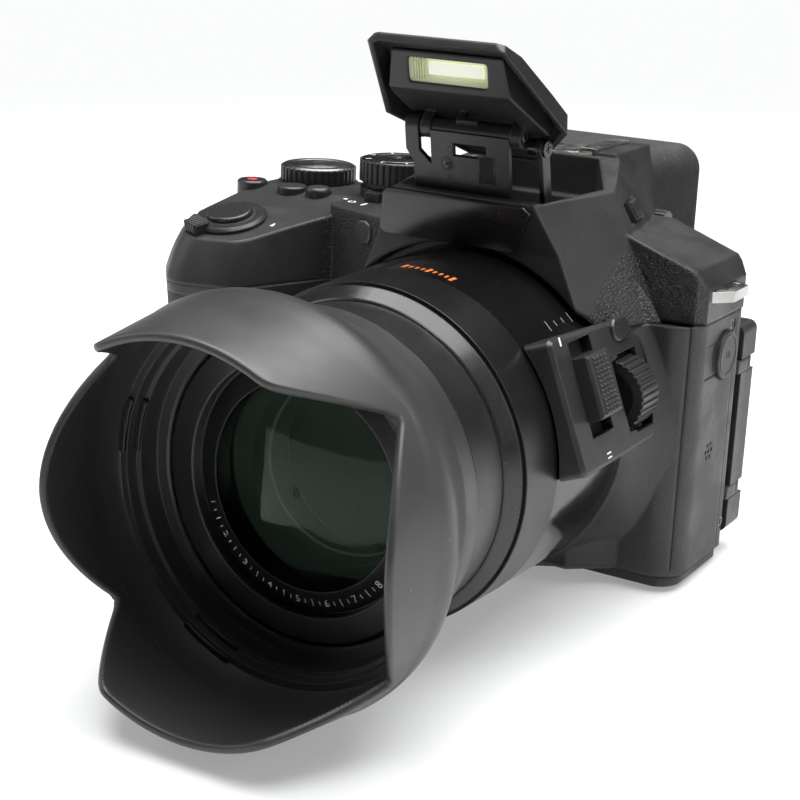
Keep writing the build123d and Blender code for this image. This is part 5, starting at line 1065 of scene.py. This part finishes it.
class BRIDGE_OT_side_details(bpy.types.Operator):
    """Add the marks of the rear controls, the flap's lip, the screws' cross slots and the tripod thread."""

    bl_idname = "bridge_camera.side_details"
    bl_label = "Side and rear details"

    def execute(self, context):
        self.rear_marks()
        bm = bmesh.new()
        flap = to_world((48.0, 8.2, 51.2), (0, 1, 0), (1, 0, 0))
        spin(bm, ((4.7, -0.05), (4.6, 0.14), (4.3, 0.14), (4.2, -0.05)), flap)
        for rib in (-0.9, 0, 0.9):
            block(bm, (0.35, 1.6, 0.12), flap @ moved(rib, 0, 0), 0.03, 1)
        add_piece("flap_lip", bm, "fine black", "mic_flap")
        # Painted shade: dark crosses stand in for the shade inside the screws' slots
        bm = bmesh.new()
        for y, z in ((12.3, 57.2), (16.4, 9.3)):
            cross(bm, (1.7, 0.3, 0.04), to_world((46.82, y, z), (0, 1, 0), (1, 0, 0)), 25)
        for x, y in ((40, 8), (40, -4), (-46, -4)):
            cross(bm, (1.9, 0.34, 0.04), to_world((x, y, 0.19), (1, 0, 0), (0, 0, -1)), 10)
        add_piece("screw_slots", bm, "painted slot shade", "body")
        bm = bmesh.new()
        thread = [(3.3, 0.4)]
        for turn in range(6):
            thread += [(3.16, 0.45 + 0.65 * turn), (2.95, 0.75 + 0.65 * turn)]
        thread += [(3.16, 4.35), (3.3, 4.4)]
        spin(bm, thread, deck_frame(0, 0, 0), closed=True)
        add_piece("tripod_thread", bm, "nickel", "body")
        return {"FINISHED"}

    def rear_marks(self):
        """Mark the two rear buttons and the four-way pad."""
        for name, body, x, z in (("menu_mark", "menu_button", -48.0, 11.0), ("play_mark", "play_button", -48.0, 50.0),
                                 ("pad_marks", "cursor_pad", -54.0, 26.0)):
            bm = bmesh.new()
            face = to_world((x, CONTROL_BACK, z), (-1, 0, 0), (0, 1, 0))
            if body == "menu_button":
                for row in (-0.8, 0, 0.8):
                    block(bm, (2.4, 0.3, 0.08), face @ moved(0, row, 0), 0.02, 1)
            elif body == "play_button":
                plate(bm, ((-0.9, -1.1), (1.2, 0), (-0.9, 1.1)), face, 0.05)
            else:
                for quarter in range(4):
                    plate(bm, ((6.3, -0.7), (7.4, 0), (6.3, 0.7)), face @ turned(90 * quarter), 0.05)
            add_piece(name, bm, "white ink", body)


class BRIDGE_OT_stage(bpy.types.Operator):
    """Set up the floor, the lights and the camera."""

    bl_idname = "bridge_camera.stage"
    bl_label = "Stage"

    def execute(self, context):
        scene = context.scene
        looks = scene.bridge_stage
        scene.view_settings.view_transform = "Standard"
        self.floor(looks)
        self.world(scene)
        self.lights(looks)
        self.camera(scene, looks)
        return {"FINISHED"}

    def floor(self, looks):
        """Lay a wide floor under the base's rear edge and the hood's lowest point."""
        bm = bmesh.new()
        bmesh.ops.create_grid(bm, x_segments=8, y_segments=8, size=4.0)
        lie = moved(0, 0.0195, -0.0002) @ Matrix.Rotation(math.atan2(FLOOR_RISE, FLOOR_RUN), 4, "X")
        bmesh.ops.transform(bm, matrix=lie, verts=bm.verts)
        mesh = bpy.data.meshes.new("floor")
        bm.to_mesh(mesh)
        bm.free()
        mesh.materials.append(self.paper(tuple(looks.floor_colour)))
        floor = bpy.data.objects.new("floor", mesh)
        bpy.context.scene.collection.objects.link(floor)

    def paper(self, colour):
        """Return the floor's paper: it brightens far from the part, and shows nothing from below."""
        finish, tree, shader, coords = new_finish("floor paper")
        cloud = noise(tree, coords, 3.0, Detail=2.0)["Fac"]
        base = mix_colour(tree, cloud, colour, tuple(0.97 * c for c in colour))
        feed(tree, shader, {"Base Color": base, "Roughness": 0.8})
        glow = add_node(tree, "ShaderNodeEmission", {"Color": (0.97, 0.975, 0.98, 1.0), "Strength": 1.0})
        rays = tree.nodes.new("ShaderNodeLightPath").outputs
        mirrored = calc(tree, "MAXIMUM", rays["Is Glossy Ray"], rays["Is Transmission Ray"])
        seen = calc(tree, "MAXIMUM", rays["Is Camera Ray"], mirrored)
        away = vector_calc(tree, "LENGTH", {0: coords})["Value"]
        share = times(tree, seen, ramp(tree, away, 0.22, 0.7, 0.3, 1.0))
        lit = add_node(tree, "ShaderNodeMixShader", {0: share, 1: shader.outputs[0], 2: glow.outputs[0]})
        clear = tree.nodes.new("ShaderNodeBsdfTransparent")
        under = tree.nodes.new("ShaderNodeNewGeometry").outputs["Backfacing"]
        final = add_node(tree, "ShaderNodeMixShader", {0: under, 1: lit.outputs[0], 2: clear.outputs[0]})
        tree.links.new(final.outputs[0], tree.nodes["Material Output"].inputs["Surface"])
        return finish

    def world(self, scene):
        """Light the room softly, brighter above than below, behind a pale backdrop."""
        world = bpy.data.worlds.new("room")
        scene.world = world
        world.use_nodes = True
        tree = world.node_tree
        room = tree.nodes["Background"]
        upward = axes(tree, tree.nodes.new("ShaderNodeTexCoord").outputs["Generated"])[2]
        feed(tree, room, {"Strength": ramp(tree, upward, -0.1, 0.9, 0.09, 0.5)})
        backdrop = add_node(tree, "ShaderNodeBackground", {"Color": (0.95, 0.955, 0.96, 1.0), "Strength": 1.0})
        seen = tree.nodes.new("ShaderNodeLightPath").outputs["Is Camera Ray"]
        final = add_node(tree, "ShaderNodeMixShader", {0: seen, 1: room.outputs[0], 2: backdrop.outputs[0]})
        tree.links.new(final.outputs[0], tree.nodes["World Output"].inputs["Surface"])

    def lights(self, looks):
        """Hang one large softbox overhead and stand one on each side."""
        for name, spot, size, power in (
            ("top_softbox", (0.05, 0.02, 1.0), 1.15, looks.top_power),
            ("left_softbox", (-1.0, -0.35, 0.55), 0.7, looks.left_power),
            ("right_softbox", (1.0, 0.1, 0.5), 0.6, looks.right_power),
        ):
            lamp = bpy.data.lights.new(name, "AREA")
            lamp.shape = "SQUARE"
            lamp.size = size
            lamp.energy = power
            holder = bpy.data.objects.new(name, lamp)
            holder.location = spot
            holder.rotation_euler = (Vector(LIGHT_TARGET) - Vector(spot)).to_track_quat("-Z", "Y").to_euler()
            bpy.context.scene.collection.objects.link(holder)

    def camera(self, scene, looks):
        """Set the camera where the photograph was taken from."""
        data = bpy.data.cameras.new("view")
        data.lens = looks.camera_lens
        data.sensor_width = 36.0
        data.clip_start, data.clip_end = 0.01, 20.0
        holder = bpy.data.objects.new("view", data)
        holder.location = CAMERA_SPOT
        roll = Quaternion((0, 0, 1), math.radians(CAMERA_ROLL))
        holder.rotation_mode = "QUATERNION"
        holder.rotation_quaternion = Vector(CAMERA_LOOK).to_track_quat("-Z", "Y") @ roll
        scene.collection.objects.link(holder)
        scene.camera = holder


class BRIDGE_PT_panel(bpy.types.Panel):
    """List the looks and the steps in the sidebar."""

    bl_idname = "BRIDGE_PT_panel"
    bl_label = "Bridge camera"
    bl_space_type = "VIEW_3D"
    bl_region_type = "UI"
    bl_category = "Bridge Camera"

    def draw(self, context):
        for looks in (context.scene.bridge_body, context.scene.bridge_lens, context.scene.bridge_stage):
            for field in looks.bl_rna.properties:
                if field.identifier not in {"rna_type", "name"}:
                    self.layout.prop(looks, field.identifier)
        for step in STEPS:
            self.layout.operator(step.bl_idname)


STEPS = (
    BRIDGE_OT_stage, BRIDGE_OT_covers, BRIDGE_OT_metalwork, BRIDGE_OT_lens_finishes, BRIDGE_OT_dial_tops,
    BRIDGE_OT_pod_details, BRIDGE_OT_flash_details, BRIDGE_OT_hood, BRIDGE_OT_lens_details,
    BRIDGE_OT_hump_details, BRIDGE_OT_side_details,
)
LOOKS = (("bridge_body", BodyLooks), ("bridge_lens", LensLooks), ("bridge_stage", StageLooks))


def register():
    for name, looks in LOOKS:
        bpy.utils.register_class(looks)
        setattr(bpy.types.Scene, name, bpy.props.PointerProperty(type=looks))
    for kind in (*STEPS, BRIDGE_PT_panel):
        bpy.utils.register_class(kind)


def unregister():
    for kind in reversed((*STEPS, BRIDGE_PT_panel)):
        bpy.utils.unregister_class(kind)
    for name, looks in reversed(LOOKS):
        delattr(bpy.types.Scene, name)
        bpy.utils.unregister_class(looks)


def main():
    """Register the add-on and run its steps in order."""
    register()
    for step in STEPS:
        area, action = step.bl_idname.split(".")
        getattr(getattr(bpy.ops, area), action)()


if __name__ == "__main__":
    main()
